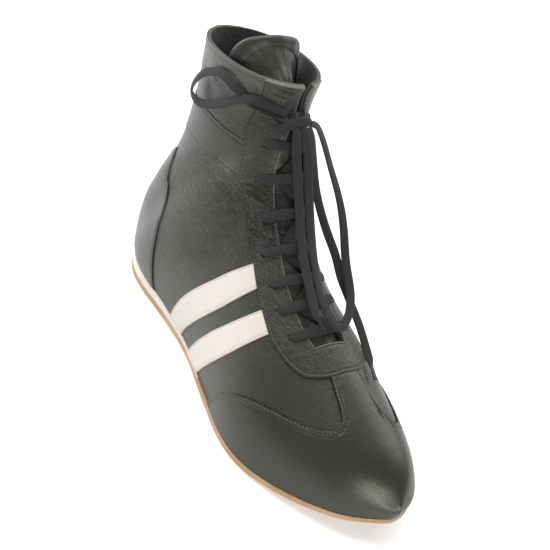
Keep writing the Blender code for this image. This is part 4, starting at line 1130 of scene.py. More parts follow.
# Distance round the section, station; the stem's corners differ between the two sides
VAMP_SIDE = (
    (0.268, 0.2455), (0.305, 0.2604), (0.342, 0.2831), (0.374, 0.3065), (0.408, 0.3312), (0.440, 0.3518),
    (0.480, 0.3742), (0.536, 0.3975), (0.60, 0.4160), (0.666, 0.4253), (0.835, 0.4440), (0.936, 0.4505),
    (1.0, 0.4530),
)
STEM_OUTER = ((-0.255, 0.2425), (-0.2335, 0.2397), (-0.197, 0.2385), (-0.163, 0.2439), (-0.141, 0.2548),
              (-0.119, 0.2731), (-0.1014, 0.2919), (-0.088, 0.3040), (-0.080, 0.3140))
STEM_INNER = ((0.080, 0.3140), (0.084, 0.3020), (0.0864, 0.2858), (0.088, 0.2698), (0.0930, 0.2561),
              (0.1109, 0.2420), (0.1431, 0.2275), (0.1700, 0.2215), (0.1998, 0.2188), (0.2350, 0.2190),
              (0.2602, 0.2210))
vamp_line = bent_line(*zip(*VAMP_SIDE))
side_arounds = np.linspace(0.30, 1.0, 60)
vamp_edge = [*[(-a, float(vamp_line(a))) for a in side_arounds[::-1]],
             *STEM_OUTER, (0.02, 0.3160), *STEM_INNER,
             *[(a, float(vamp_line(a) - 0.022 * (1 - ease((a - 0.27) / 0.4)))) for a in side_arounds]]
vamp_edge = np.array(vamp_edge)
vamp_look = overlay_finish("vamp_leather", VAMP_COLOUR, roughness=0.36, wrinkle=0.3)
vamp_low = np.stack([np.zeros(len(vamp_edge)), vamp_edge[:, 0]], -1)
vamp = patch("toe_vamp_leather", vamp_low, vamp_edge[:, ::-1], vamp_look, VAMP_HEIGHT, ("high",),
             stitches=(0.0016, 0.0036), spacing=0.0016)
dress(vamp, "toe_vamp")


# Heel counter: a stiff leather piece wrapped round the heel over the back seam, sewn
# along its front and top edge.
COUNTER_HEIGHT = 0.0010
# COUNTER_COLOUR is the upper's black leather made lighter, as painted light from behind on the heel
COUNTER_COLOUR = (0.039, 0.0395, 0.0340)
# Station, distance round the section
COUNTER = (
    (0.696, 0.990),
    (0.714, 0.864),
    (0.736, 0.762),
    (0.762, 0.683),
    (0.799, 0.628),
    (0.856, 0.597),
    (0.981, 0.586),
    (1.106, 0.601),
    (1.215, 0.621),
    (1.348, 0.660),
    (1.450, 0.715),
)
counter_look = overlay_finish("counter_leather", COUNTER_COLOUR, roughness=0.40, wrinkle=0.4)
counter_stations = np.linspace(COUNTER[0][0], COUNTER[-1][0], 150)
counter_edge = spline(*zip(*COUNTER))(counter_stations)
for side_name, side in SIDES:
    counter = patch(f"heel_counter_{side_name}", np.stack([counter_stations, side * counter_edge], -1),
                    np.stack([counter_stations, np.full(150, float(side))], -1), counter_look,
                    COUNTER_HEIGHT, ("low", "end"))
    dress(counter, "heel_counter")


# Shaft bands and collar cuffs: strips round the shaft, one above the other, that strengthen
# the collar. Their lower edges are sewn on top of the piece below.
SHAFT_HEIGHT = 0.0005
SHAFT_COLOUR = (0.029, 0.0295, 0.0245)
# CUFF_COLOUR is the upper's black leather made lighter, as painted light on the top of the shaft
CUFF_COLOUR = (0.051, 0.0515, 0.0450)
# Seams round the shaft: distance round the section, height above the floor
SEAM_HIGH = ((0.25, 0.1733), (0.45, 0.1725), (0.62, 0.1720), (0.75, 0.1708), (1.0, 0.1680))
SEAM_MIDDLE = ((0.25, 0.1505), (0.45, 0.1510), (0.63, 0.1518), (0.80, 0.1500), (1.0, 0.1470))
SEAM_LOW = ((0.25, 0.1335), (0.33, 0.1313), (0.40, 0.1303), (0.49, 0.1294), (0.63, 0.1279), (0.80, 0.1245),
            (1.0, 0.1203))
STRAP_HALF = 0.925
shaft_look = overlay_finish("shaft_leather", SHAFT_COLOUR, roughness=0.40, wrinkle=0.6)
cuff_look = overlay_finish("cuff_leather", CUFF_COLOUR, roughness=0.38, wrinkle=0.6, rim_light=0.5)


def seam_station(seam, around):
    return station_at_height(-around, float(spline(*zip(*seam))(around)))


for side_name, side in SIDES:
    arounds = np.linspace(EYESTAY_EDGE - TUCKED, STRAP_HALF + 0.015, 60)
    low_edge, middle_edge, high_edge = [np.array([(seam_station(seam, a), side * a) for a in arounds])
                                        for seam in (SEAM_LOW, SEAM_MIDDLE, SEAM_HIGH)]
    band = patch(f"shaft_band_{side_name}_leather", low_edge, middle_edge, shaft_look, SHAFT_HEIGHT,
                 ("low", "high"))
    dress(band, f"shaft_band_{side_name}")
    top_edge = np.stack([np.full(60, 2.0), side * arounds], -1)
    cuff = patch(f"collar_cuff_{side_name}_leather", high_edge, top_edge, cuff_look, SHAFT_HEIGHT,
                 ("low", "high"))
    dress(cuff, f"collar_cuff_{side_name}")


# Back strap: an upright strip over the back seam from the counter to the collar.
STRAP_HEIGHT = 0.0016
STRAP_COLOUR = (0.026, 0.0265, 0.0215)
strap_look = overlay_finish("strap_leather", STRAP_COLOUR, roughness=0.40, wrinkle=0.5)
strap_start = station_at_height(1.0, SEAM_LOW[-1][1])
strap_stations = np.linspace(strap_start, 2.0, 60)
strap = patch("back_strap_leather", np.stack([strap_stations, np.full(60, -STRAP_HALF)], -1),
              np.stack([strap_stations, np.full(60, -2 + STRAP_HALF)], -1), strap_look, STRAP_HEIGHT,
              ("low", "high", "start", "end"))
dress(strap, "back_strap")


# Eyestay: a U-shaped leather facing round the throat with eight lace holes on each side.
# A seam follows both of its edges, and one crosses it near the lower end.
EYESTAY_HEIGHT = 0.0015
EYESTAY_COLOUR = (0.0165, 0.0170, 0.0135)
HOLE_DIAMETER = 0.0038
PUNCH_SIDES = 14
# Lower edge: distance round the section, station
EYESTAY_CORNER = (
    (0.000, 0.308),
    (0.100, 0.310),
    (0.165, 0.320),
    (0.212, 0.337),
    (0.240, 0.363),
    (0.265, 0.400),
)
stay_look = overlay_finish("eyestay_leather", EYESTAY_COLOUR, roughness=0.39, wrinkle=1.5, rim_light=0.9)
corner = spline(*zip(*EYESTAY_CORNER))
up_stations = 0.405 + (2.0 - 0.405) * np.linspace(0, 1, 120)**1.15
bend_arounds = np.concatenate([np.linspace(EYESTAY_EDGE, 0.20, 12), np.linspace(0.19, 0.0, 14)])
outer_bend = [(float(corner(a)), -a) for a in bend_arounds]
outside_half = [*[(s, -EYESTAY_EDGE) for s in up_stations[::-1]], *outer_bend]
throat_bend = np.concatenate([np.linspace(THROAT_START + 0.045, THROAT_START, 13), np.full(13, THROAT_START)])
bend_shares = [*np.ones(12), *np.linspace(1, 0, 14)]


def throat_side(edge, side):
    """Line along one side of the throat, down to its foot and in to the middle."""
    return [*[(s, side * (float(edge(s)) + 0.004)) for s in up_stations[::-1]],
            *[(s, side * (float(edge(s)) + 0.004) * share) for s, share in zip(throat_bend, bend_shares)]]


inside_outer, inside_inner = throat_side(throat_outer, -1), throat_side(throat_inner, 1)
stay_outside = np.array([*outside_half, *[(s, -a) for s, a in outside_half[-2::-1]]])
stay_inside = np.array([*inside_outer, *inside_inner[-2::-1]])
eyestay = patch("eyestay_leather_facing", stay_outside, stay_inside, stay_look, EYESTAY_HEIGHT,
                ("low", "high", "start", "end"), spacing=0.0013, sewn=("low", "high"))


def sew_over(line, height):
    """A dark seam at a height over the upper, along stations and distances round."""
    stations, arounds = line.T
    seams["dark"].append((surface(stations, arounds, np.full(len(line), height)),
                          skin_normal(stations, arounds)))


# A square of stitches at the top of the outer side, hand stitches over the edge below it
# and the seam that crosses the facing near its lower end
for corners in (((1.985, -0.246), (1.88, -0.240), (1.78, -0.237), (1.690, -0.247)),
                ((1.690, -0.247), (1.600, -0.180), (1.50, -0.110), (1.40, -0.050)),
                ((0.362, -0.250), (0.357, -0.170), (0.352, -0.090))):
    sew_over(evenly(corners, 40), EYESTAY_HEIGHT)
for k in range(15):
    station = 1.58 - 0.48 * k / 14
    sew_over(np.array([(station + 0.016, -0.283), (station - 0.016, -0.272)]), 0.0012)
cutters = []
for station, outer_at, inner_at in EYELETS:
    for around in (-outer_at, inner_at):
        centre, normal = skin_point(station, around), skin_normal(station, around)
        turn = Vector(normal).to_track_quat("Z", "Y").to_matrix()
        for height in (-0.004, 0.005):
            for angle in np.arange(PUNCH_SIDES) / PUNCH_SIDES * 2 * math.pi:
                ring = Vector((math.cos(angle) * HOLE_DIAMETER / 2, math.sin(angle) * HOLE_DIAMETER / 2,
                               height))
                cutters.append(Vector(centre) + turn @ ring)
cutter_faces = []
for low in range(0, len(cutters), 2 * PUNCH_SIDES):
    high = low + PUNCH_SIDES
    cutter_faces += [tuple(range(high - 1, low - 1, -1)), tuple(range(high, high + PUNCH_SIDES))]
    cutter_faces += [(low + j, low + (j + 1) % PUNCH_SIDES, high + (j + 1) % PUNCH_SIDES, high + j)
                     for j in range(PUNCH_SIDES)]
cutter = new_mesh("lace_hole_punch", cutters, cutter_faces, stay_look)


def plain_mesh(piece):
    """Put the result of the piece's modifiers in its mesh."""
    bpy.context.view_layer.update()
    result = bpy.data.meshes.new_from_object(piece.evaluated_get(bpy.context.evaluated_depsgraph_get()))
    piece.modifiers.clear()
    piece.data = result
    return piece


punch = eyestay.modifiers.new("lace_holes", "BOOLEAN")
punch.operation = "DIFFERENCE"
punch.solver = "EXACT"
punch.object = cutter
plain_mesh(eyestay)
bpy.data.objects.remove(cutter, do_unlink=True)
dress(eyestay, "eyestay")


# Tongue: soft leather over thin foam. It runs up behind the throat, leans back inside the
# collar and ends in a rounded top edge that is bound with a strip of smooth leather.
TONGUE_THICKNESS = 0.003
TONGUE_COLOUR = (0.026, 0.026, 0.0235)
BINDING_COLOUR = (0.017, 0.017, 0.015)
BINDING_WIDTH = 0.0062
TONGUE_HALF = 0.245
TONGUE_FOOT = 0.338
TOP_ROUND = 0.008
# Station of the wall it leaves, half width round the section, backward shift of middle and
# sides as shares of the sole length, rise of middle and sides as shares of the collar height
TONGUE_TOP = (
    (0.94, 0.250, 0.004, 0.002, 0.005, 0.000),
    (1.06, 0.272, 0.014, 0.005, 0.016, 0.000),
    (1.20, 0.310, 0.031, 0.009, 0.032, 0.000),
    (1.37, 0.375, 0.052, 0.013, 0.053, 0.000),
    (1.58, 0.460, 0.077, 0.020, 0.069, 0.006),
    (1.98, 0.560, 0.109, 0.032, 0.080, 0.018),
)
# Upright folds of the free part: distance from the middle line, depth, half width, and the
# share of the length where each starts and ends, in millimetres and shares
TONGUE_FOLDS = (
    (-15.0, 0.5, 2.0, 0.72, 0.97), (-10.0, 0.4, 1.6, 0.76, 0.96), (-5.0, 0.5, 1.8, 0.70, 0.98),
    (0.5, 0.4, 1.5, 0.74, 0.97), (6.0, 0.9, 1.6, 0.68, 0.985), (9.5, -0.9, 1.8, 0.70, 0.985),
    (13.0, 0.8, 1.8, 0.72, 0.97), (18.0, 0.5, 2.0, 0.75, 0.96),
)
flat_keys = [(s, TONGUE_HALF, 0.0, 0.0, 0.0, 0.0)
             for s in (TONGUE_FOOT, 0.42, 0.50, 0.58, 0.66, 0.74, 0.82, 0.88)]
tongue_keys = np.array([*flat_keys, *TONGUE_TOP])
key_count = np.arange(len(tongue_keys))
tongue_curves = [spline(key_count, tongue_keys[:, k]) for k in range(6)]


def tongue_sheet(row, across):
    """Outer face of the tongue; row counts the key rows, across runs from -1 to 1."""
    station, half, back_shift, side_back, rise, side_rise = [curve(row) for curve in tongue_curves]
    bow = across**2
    around = across * half
    points = skin_point(station, around) - skin_normal(station, around) * (WALL + 0.0007)
    points[..., 0] -= SOLE_LENGTH * (back_shift + (side_back - back_shift) * bow)
    points[..., 2] += COLLAR_HEIGHT * (rise + (side_rise - rise) * bow)
    return points


row_marks = np.linspace(0, key_count[-1], 400)
tongue_length = lengths(tongue_sheet(row_marks, np.zeros(400)))
width_marks = []
for row in row_marks:
    edge_line = tongue_sheet(np.full(41, row), np.linspace(-1, 1, 41))
    width_marks.append(lengths(edge_line)[-1] / 2)
TONGUE_END = float(tongue_length[-1])


def half_width(along):
    full = np.interp(along, tongue_length, width_marks)
    rounding = np.clip((along - (TONGUE_END - TOP_ROUND)) / TOP_ROUND, 0, 1)
    return full * (1 - rounding**2.6)**(1 / 2.6)


def tongue_point(along, across, lift):
    """Point at a length along the tongue and a distance across it, in metres."""
    along, across, lift = np.broadcast_arrays(*[np.asarray(value, float) for value in (along, across, lift)])
    row = np.interp(along, tongue_length, row_marks)
    share = across / np.interp(along, tongue_length, width_marks)
    e = 0.02
    base = tongue_sheet(row, share)
    ahead, behind = [np.clip(row + step, 0, key_count[-1]) for step in (e, -e)]
    du = tongue_sheet(ahead, share) - tongue_sheet(behind, share)
    dv = tongue_sheet(row, share + e) - tongue_sheet(row, share - e)
    normal = unit(np.cross(dv, du))
    folds = np.zeros(base.shape[:-1])
    for place, depth, half, first, last in TONGUE_FOLDS:
        part = np.clip((along / TONGUE_END - first) / (last - first), 0, 1)
        sway = 0.0012 * np.sin(along * 70 + place)
        bulge = np.exp(-((across - place * 0.001 - sway) / (half * 0.001))**2)
        folds += depth * 0.001 * bulge * np.sin(math.pi * part)**0.7
    folds += 0.00035 * np.sin(along * 420 + across * 260) * np.sin(across * 330 - along * 90)
    return base + normal * (lift + folds)[..., None]


tongue_look = leather_finish("tongue_leather", TONGUE_COLOUR, roughness=0.46, wrinkle=0.8)
top_share = np.sin(np.linspace(0, math.pi / 2, 26))
tongue_rows = np.concatenate([np.linspace(0, TONGUE_END - TOP_ROUND, 110)[:-1],
                              TONGUE_END - TOP_ROUND + TOP_ROUND * top_share * 0.9985])
tongue_shares = np.concatenate([[-1, -0.985, -0.96], np.linspace(-0.92, 0.92, 48), [0.96, 0.985, 1]])
along_grid = np.broadcast_to(tongue_rows[:, None], (len(tongue_rows), len(tongue_shares)))
across_grid = half_width(along_grid) * tongue_shares
from_edge = np.minimum(half_width(along_grid) - np.abs(across_grid), TONGUE_END - along_grid)
padding = np.sqrt(1 - (1 - np.clip(from_edge / 0.0012, 0, 1))**2)
tongue_face = tongue_point(along_grid, across_grid, -TONGUE_THICKNESS / 2 * (1 - padding))
tongue_back = tongue_point(along_grid, across_grid, -TONGUE_THICKNESS / 2 * (1 + padding) - 0.0002)
tongue = solid_between("tongue_padded", tongue_face[:, ::-1], tongue_back[:, ::-1], tongue_look)
dress(tongue, "tongue")

binding_side = np.linspace(TONGUE_END - 0.060, TONGUE_END - TOP_ROUND, 60)[:-1]
binding_top = TONGUE_END - TOP_ROUND + TOP_ROUND * np.sin(np.linspace(0, math.pi / 2, 40))
border_along = np.concatenate([binding_side, binding_top])
border = np.stack([border_along, -half_width(border_along)], -1)
border = np.concatenate([border, (border * (1, -1))[-2::-1]])
even = np.linspace(0, lengths(border)[-1], 150)
border = read_off(border, lengths(border), even)
heading = unit(np.gradient(border, axis=0))
inward = np.stack([-heading[:, 1], heading[:, 0]], -1)
inward *= np.sign((inward * (np.array([TONGUE_END - 0.03, 0.0]) - border)).sum(-1, keepdims=True))
# Section of the binding: distance in from the tongue's edge, height over its face
BINDING_SECTION = (
    (BINDING_WIDTH, 0.0), (BINDING_WIDTH, 0.00055), (BINDING_WIDTH * 0.9, 0.0008),
    (BINDING_WIDTH * 0.6, 0.0009), (BINDING_WIDTH * 0.3, 0.0008), (0.0008, 0.0004), (0.0, -0.0003),
    (-0.0005, -0.0012), (-0.0005, -0.0022), (0.0, -0.0031), (0.0008, -0.0036), (BINDING_WIDTH * 0.4, -0.0039),
    (BINDING_WIDTH * 0.8, -0.0038), (BINDING_WIDTH * 0.8, -0.0030), (BINDING_WIDTH * 0.4, -0.0014),
)


def along_border(inset, lift):
    return tongue_point(*(border + inward * inset).T, np.full(len(border), lift))


def tube(name, rings, look):
    """Closed skin over rings of points; rings has a point of every ring in each row."""
    sides, count = rings.shape[:2]
    grid = np.arange(sides * count).reshape(sides, count)
    after = np.roll(grid, -1, 0)
    corners = np.stack([grid[:, :-1], grid[:, 1:], after[:, 1:], after[:, :-1]], -1).reshape(-1, 4)
    faces = [*corners.tolist(), grid[:, 0].tolist(), grid[::-1, -1].tolist()]
    points = rings.reshape(-1, 3)
    a, b, c, d = [points[corners[:, k]] for k in range(4)]
    middle = np.repeat(rings.mean(0)[None], sides, 0).reshape(-1, 3)[corners[:, 0]]
    if (np.cross(c - a, d - b) * ((a + c) / 2 - middle)).sum() < 0:
        faces = [face[::-1] for face in faces]
    return new_mesh(name, points, faces, look)


binding_look = leather_finish("binding_leather", BINDING_COLOUR, roughness=0.44, wrinkle=0.2)
binding = tube("tongue_binding", np.array([along_border(*mark) for mark in BINDING_SECTION]), binding_look)
dress(binding, None)
seams["dark"].append((along_border(BINDING_WIDTH - 0.0012, 0.0009),
                      np.tile((0.6, -0.3, 0.7), (len(border), 1))))


# Lace over the throat: eight straight bars on top, with slanting runs under them. Each bar
# narrows where it dives into its hole.
BAR_WIDTH = 0.0062
BAR_THICK = 0.0013
BAR_LIFT = EYESTAY_HEIGHT + 0.0008


def taut_stations(station, arounds):
    """Stations of a taut lace at distances round the section: the shortest way over the
    upper between two holes at the same station."""
    stations = np.full(len(arounds), float(station))
    for _ in range(50):
        points = skin_point(stations, arounds)
        forward = skin_point(stations + 0.002, arounds) - points
        pull = np.zeros_like(points)
        pull[1:-1] = (points[:-2] + points[2:]) / 2 - points[1:-1]
        step = (pull * forward).sum(1) / (forward**2).sum(1) * 0.002
        stations = stations + step * 0.95
    return stations


def over_throat(name, stations, arounds, lifts, width, thickness):
    """Flat lace through points over the upper; width and thickness may change along it."""
    keys = skin_point(stations, arounds) + skin_normal(stations, arounds) * lifts[:, None]
    run = smooth_run(keys, 0.0009)
    at = np.linspace(0, 1, len(run))
    key_at = lengths(keys) / lengths(keys)[-1]
    facing_to = skin_normal(np.interp(at, key_at, stations), np.interp(at, key_at, arounds))
    wide = np.interp(at, np.linspace(0, 1, len(width)), width)
    thick = np.interp(at, np.linspace(0, 1, len(thickness)), thickness)
    return ribbon(name, run, facing_to, wide, thick, lace_look)


bars = []
taut_ways = []
for number, (station, outer_at, inner_at) in enumerate(EYELETS):
    slot_outer, slot_inner = float(throat_outer(station)), float(throat_inner(station))
    slack = 0.0004 * math.sin(number * 2.3)
    ridge_step = np.linalg.norm(skin_point(station + 0.01, 0.0) - skin_point(station - 0.01, 0.0)) / 0.02
    arounds = np.array([-outer_at - 0.014, -outer_at - 0.009, -outer_at, -outer_at + 0.022,
                        -slot_outer - 0.01, -slot_outer * 0.5, (slot_inner - slot_outer) / 2,
                        slot_inner * 0.5, slot_inner + 0.01,
                        inner_at - 0.022, inner_at, inner_at + 0.009, inner_at + 0.014])
    rise = [-0.0035, -0.0005, BAR_LIFT - 0.0006, BAR_LIFT + 0.0002, BAR_LIFT, 0.0016]
    lifts = np.array([*rise, 0.0014 + slack, *rise[::-1]])
    tilt = 0.0012 * math.sin(number * 1.7 + 0.4) / ridge_step
    even_arounds = np.linspace(-outer_at, inner_at, 9)
    taut = taut_stations(station, even_arounds)
    stations = np.interp(arounds, even_arounds, taut) + tilt * np.linspace(-1, 1, 13)
    taut_ways.append((even_arounds, taut))
    wide = BAR_WIDTH * np.array([0.5, 0.62, 0.85, *np.ones(9), 0.85, 0.62, 0.5])
    thick = BAR_THICK * np.array([1.5, 1.2, 1, 1, 1, 1, 1.2, 1.5])
    bars.append(over_throat(f"lace_bar_{number}", stations, arounds, lifts, wide, thick))
for number in range(len(EYELETS) - 1):
    shares = np.linspace(0, 1, 7)
    stations = EYELETS[number][0] + (EYELETS[number + 1][0] - EYELETS[number][0]) * shares
    low_edge, high_edge = throat_outer(stations), throat_inner(stations)
    lean = (1 if number % 2 == 0 else -1) * (1 - 2 * shares) * 0.95
    arounds = (high_edge - low_edge) / 2 + lean * (high_edge + low_edge) / 2
    below, above = [np.interp(arounds, *taut_ways[k]) for k in (number, number + 1)]
    stations = below + (above - below) * shares
    lifts = -0.0008 - 0.0009 * np.sin(math.pi * shares)
    bars.append(over_throat(f"lace_under_{number}", stations, arounds, lifts, [BAR_WIDTH * 0.9] * 4,
                            [BAR_THICK] * 4))
crossings = joined("lace_bars", bars)
dress(crossings, "lace_crossings")


# Outsole: a thin gum rubber sheet cut to the shape of the foot and turned up at the toe.
# Its underside has a stitched groove near the edge and two round treads.
GUM_COLOUR = (0.36, 0.205, 0.095)
GUM_PALE = (0.49, 0.325, 0.185)
SOLE_CHAMFER = 0.0008
GROOVE_INSET = 0.0065
RECESS = 0.0003
DISC_RADIUS = 0.021
DISC_RINGS = 6


def on_floor(line, height):
    """Points of an outline in the row frame, at a height that depends on the place along."""
    return np.column_stack([line[:, 0] - HEEL_CENTRE * SOLE_LENGTH, line[:, 1],
                            height(line[:, 0] / SOLE_LENGTH)])


def swept(turn):
    """Share of the sole's length at an angle from heel to toe; even angles lie closer at the ends."""
    return 0.5 * (1 - np.cos(turn))


def offset_outline(alongs, inset):
    """Outer and inner edge of the sole moved inwards by a distance."""
    turn = np.clip(sweep_angle(alongs), 1e-4, math.pi - 1e-4)
    turns = np.stack([turn - 1e-4, turn, turn + 1e-4])
    edges = []
    for side, sign in ((0, 1), (1, -1)):
        x = swept(turns) * SOLE_LENGTH
        y = outline(swept(turns))[side]
        heading = unit(np.stack([x[2] - x[0], y[2] - y[0]], -1))
        sideways = np.stack([-heading[:, 1], heading[:, 0]], -1) * sign
        line = np.stack([np.asarray(alongs) * SOLE_LENGTH, outline(alongs)[side]], -1)
        edges.append(line + sideways * inset)
    edges[0][0, 1] = edges[1][0, 1] = (edges[0][0, 1] + edges[1][0, 1]) / 2
    if alongs[-1] > 0.9999:
        edges[0][-1] = edges[1][-1] = (edges[0][-1] + edges[1][-1]) / 2
    return edges


def plate(name, alongs, layers, look):
    """Closed plate. layers are rings of inset and height, from the middle of the underside
    outwards, up the side and in over the top."""
    sides = [(*offset_outline(alongs, inset), height) for inset, height in layers]
    shares = np.linspace(0, 1, 14)[:, None, None]
    ring = []
    outer_first, inner_first, height = sides[0]
    ring += [(points, height) for points in outer_first + (inner_first - outer_first) * shares]
    ring += [(inner_line, height) for _, inner_line, height in sides[1:-1]]
    outer_last, inner_last, height = sides[-1]
    ring += [(points, height) for points in inner_last + (outer_last - inner_last) * shares]
    ring += [(outer_line, height) for outer_line, _, height in sides[-2:0:-1]]
    rings = np.array([on_floor(line, height) for line, height in ring])
    count, rows = rings.shape[:2]
    points = rings.reshape(-1, 3)
    first, same = merged(points, 2e-5)
    grid = same.reshape(count, rows)
    after = np.roll(grid, -1, 0)
    faces = [*np.stack([grid[:, :-1], after[:, :-1], after[:, 1:], grid[:, 1:]], -1).reshape(-1, 4).tolist()]
    if alongs[-1] < 0.9999:
        faces.append(grid[:, -1].tolist())
    return new_mesh(name, points[first], without_repeats(faces), look, math.radians(35))


def gum_finish():
    """Translucent-looking tan rubber: cloudy, dusty near the floor, fine wavy pattern below."""
    finish = Finish("gum_rubber")
    where = finish.place()
    x, y, z = finish.axes(where)
    clouds = finish.noise(where, 30.0, 4.0, 0.6)
    specks = finish.noise(where, 500.0, 3.0, 0.7)
    facing_down = (1 - z.ramp(0.0004, 0.0010))
    waves = (y * 1800.0 + (x * 900.0).sine() * 1.2).sine()
    pale = clouds.ramp(0.35, 0.70) * 0.75 + z.ramp(0.0015, 0.0038) * 0.35
    colour = finish.blend(pale, GUM_COLOUR, GUM_PALE)
    dirt = specks.ramp(0.60, 0.75) * 0.25 + facing_down * clouds.ramp(0.45, 0.6) * 0.15
    finish.feed("Base Color", finish.blend(dirt, colour, (0.30, 0.19, 0.12)))
    finish.feed("Roughness", specks * 0.2 + clouds * 0.1 + 0.38)
    finish.settle(Subsurface_Weight=0.12, Subsurface_Scale=0.002)
    finish.feed("Normal", finish.bump(specks * 0.5 + waves * facing_down * 0.5, 0.00015))
    return finish.material


def sole_top(along):
    return ground(along) + OUTSOLE_THICKNESS


gum_look = gum_finish()
sole_alongs = swept(math.pi * np.linspace(0, 1, 150))
outsole = plate("outsole_gum", sole_alongs, (
    (GROOVE_INSET + 0.0009, lambda a: ground(a) + RECESS),
    (GROOVE_INSET + 0.0005, lambda a: ground(a) + 0.0008),
    (GROOVE_INSET - 0.0005, lambda a: ground(a) + 0.0008), (GROOVE_INSET - 0.0009, ground),
    (SOLE_CHAMFER * 1.5, ground),
    (SOLE_CHAMFER * 0.5, lambda a: ground(a) + SOLE_CHAMFER * 0.3), (0.0, lambda a: ground(a) + SOLE_CHAMFER),
    (0.0002, lambda a: sole_top(a) - 0.0009), (0.0002, lambda a: sole_top(a) - 0.0004),
    (0.0005, lambda a: sole_top(a) - 0.0001), (0.0012, sole_top)), gum_look)
dress(outsole, "outsole")
# Round treads under heel and ball: rings pressed in the gum, on a disc let into it
ring_marks = np.linspace(0, 1, DISC_RINGS * 8 + 1)[1:]
turns = np.linspace(0, 2 * math.pi, 72, endpoint=False)
count = len(turns)
for number, share in enumerate((0.145, 0.66)):
    centre_y = float(np.mean([edge for edge in outline(share)]))
    centre_x = (share - HEEL_CENTRE) * SOLE_LENGTH
    base_z = float(ground(share))
    points = [(centre_x, centre_y, base_z)]
    for mark in ring_marks:
        reach = mark * DISC_RADIUS
        dip = RECESS + 0.0002
        if mark < 0.999:
            dip = 0.00035 * max(0.0, math.cos(mark * DISC_RINGS * 2 * math.pi)) ** 3
        points += [(centre_x + reach * math.cos(t), centre_y + reach * math.sin(t),
                    float(ground(share + reach * math.cos(t) / SOLE_LENGTH)) + dip) for t in turns]
    points += [(centre_x + DISC_RADIUS * math.cos(t), centre_y + DISC_RADIUS * math.sin(t), base_z + 0.0015)
               for t in turns]
    faces = [(0, 1 + (k + 1) % count, 1 + k) for k in range(count)]
    for ring in range(len(ring_marks)):
        first = 1 + ring * count
        faces += [(first + k, first + (k + 1) % count, first + count + (k + 1) % count, first + count + k)
                  for k in range(count)]
    faces.append(tuple(range(1 + len(ring_marks) * count, 1 + (len(ring_marks) + 1) * count)))
    disc = new_mesh(f"tread_disc_{number}", points, faces, gum_look)
    dress(disc, None)
groove_alongs = swept(math.pi * np.linspace(0.02, 0.98, 120))
for line in offset_outline(groove_alongs, GROOVE_INSET):
    points = on_floor(line, lambda a: ground(a) + 0.0007)[1:-1]
    seams["light"].append((points, np.tile((0.0, 0.0, -1.0), (len(points), 1))))


# Midsole: a wedge of white foam rubber glued under the heel; it thins out at the waist.
FOAM_WHITE = (0.70, 0.67, 0.61)
MIDSOLE_END = 0.50


def foam_finish():
    finish = Finish("white_foam")
    where = finish.place()
    z = finish.axes(where)[2]
    pores = finish.cells(where, 900.0)
    grime = finish.noise(where, 55.0, 5.0, 0.65)
    # Random patches of grime, and darker towards the bottom of the foam
    grime_and_darker_bottom = grime.ramp(0.48, 0.78) * 0.45 + z.ramp(0.0062, 0.0044) * 0.35
    finish.feed("Base Color", finish.blend(grime_and_darker_bottom, FOAM_WHITE, (0.42, 0.37, 0.30)))
    finish.feed("Roughness", grime * 0.2 + 0.55)
    finish.feed("Normal", finish.bump(pores * 0.5 + grime * 0.4, 0.00016))
    return finish.material


midsole_alongs = np.concatenate([sole_alongs[sole_alongs < MIDSOLE_END - 0.004], [MIDSOLE_END]])
midsole = plate("midsole_foam", midsole_alongs, (
    (SOLE_CHAMFER, lambda a: sole_top(a) + 0.00002),
    (0.0004, lambda a: sole_top(a) + 0.0001 + wedge(a) * 0.03),
    (0.0001, lambda a: sole_top(a) + wedge(a) * 0.25), (0.0002, lambda a: sole_top(a) + wedge(a) * 0.6),
    (0.0005, lambda a: sole_top(a) + wedge(a) * 0.88), (0.0011, lambda a: sole_top(a) + wedge(a))),
    foam_finish())
dress(midsole, "midsole")


# Insole: a cloth-covered footbed inside the upper.
INSOLE_COLOUR = (0.060, 0.060, 0.058)
insole_inset = SOLE_SHOWS + WALL + 0.0038


def insole_finish():
    finish = Finish("insole_cloth")
    where = finish.place()
    x, y, _ = finish.axes(where)
    weave = (x * 4200.0).sine() * (y * 4200.0).sine()
    worn = finish.noise(where, 30.0, 3.0)
    finish.feed("Base Color", finish.blend(weave * 0.3 + worn * 0.6, tinted(INSOLE_COLOUR, 0.6),
                                           tinted(INSOLE_COLOUR, 1.6)))
    finish.feed("Roughness", 0.9)
    finish.feed("Normal", finish.bump(weave, 0.0002))
    return finish.material


insole = plate("insole_footbed", sole_alongs[::2], (
    (insole_inset + 0.0006, feather), (insole_inset, lambda a: feather(a) + 0.0006),
    (insole_inset, lambda a: feather(a) + 0.0024), (insole_inset + 0.0008, lambda a: feather(a) + 0.003)),
    insole_finish())
dress(insole, "insole")


# Stitching: every seam is a row of lockstitches, black on leather and pale on the bands
# and round the sole. Each seam line carries one small rounded stitch per pitch.
STITCH_PITCH = 0.0024
STITCH_LENGTH = 0.0017
STITCH_WIDTH = 0.00055
THREADS = (("dark", (0.060, 0.060, 0.051), "black_leather"),
           ("light", (0.55, 0.47, 0.36), "white_leather"))


def thread_finish(name, colour):
    finish = Finish(name)
    where = finish.place()
    twist = finish.noise(where, 4000.0, 2.0, 0.6)
    worn = finish.noise(where, 90.0, 2.0)
    light = tuple(min(c * 1.8 + 0.02, 0.9) for c in colour)
    shade = worn.ramp(0.35, 0.7) * 0.6 + twist * 0.3
    finish.feed("Base Color", finish.blend(shade, tinted(colour, 0.8), light))
    finish.feed("Roughness", 0.6)
    finish.feed("Normal", finish.bump(twist, 0.0001))
    return finish.material


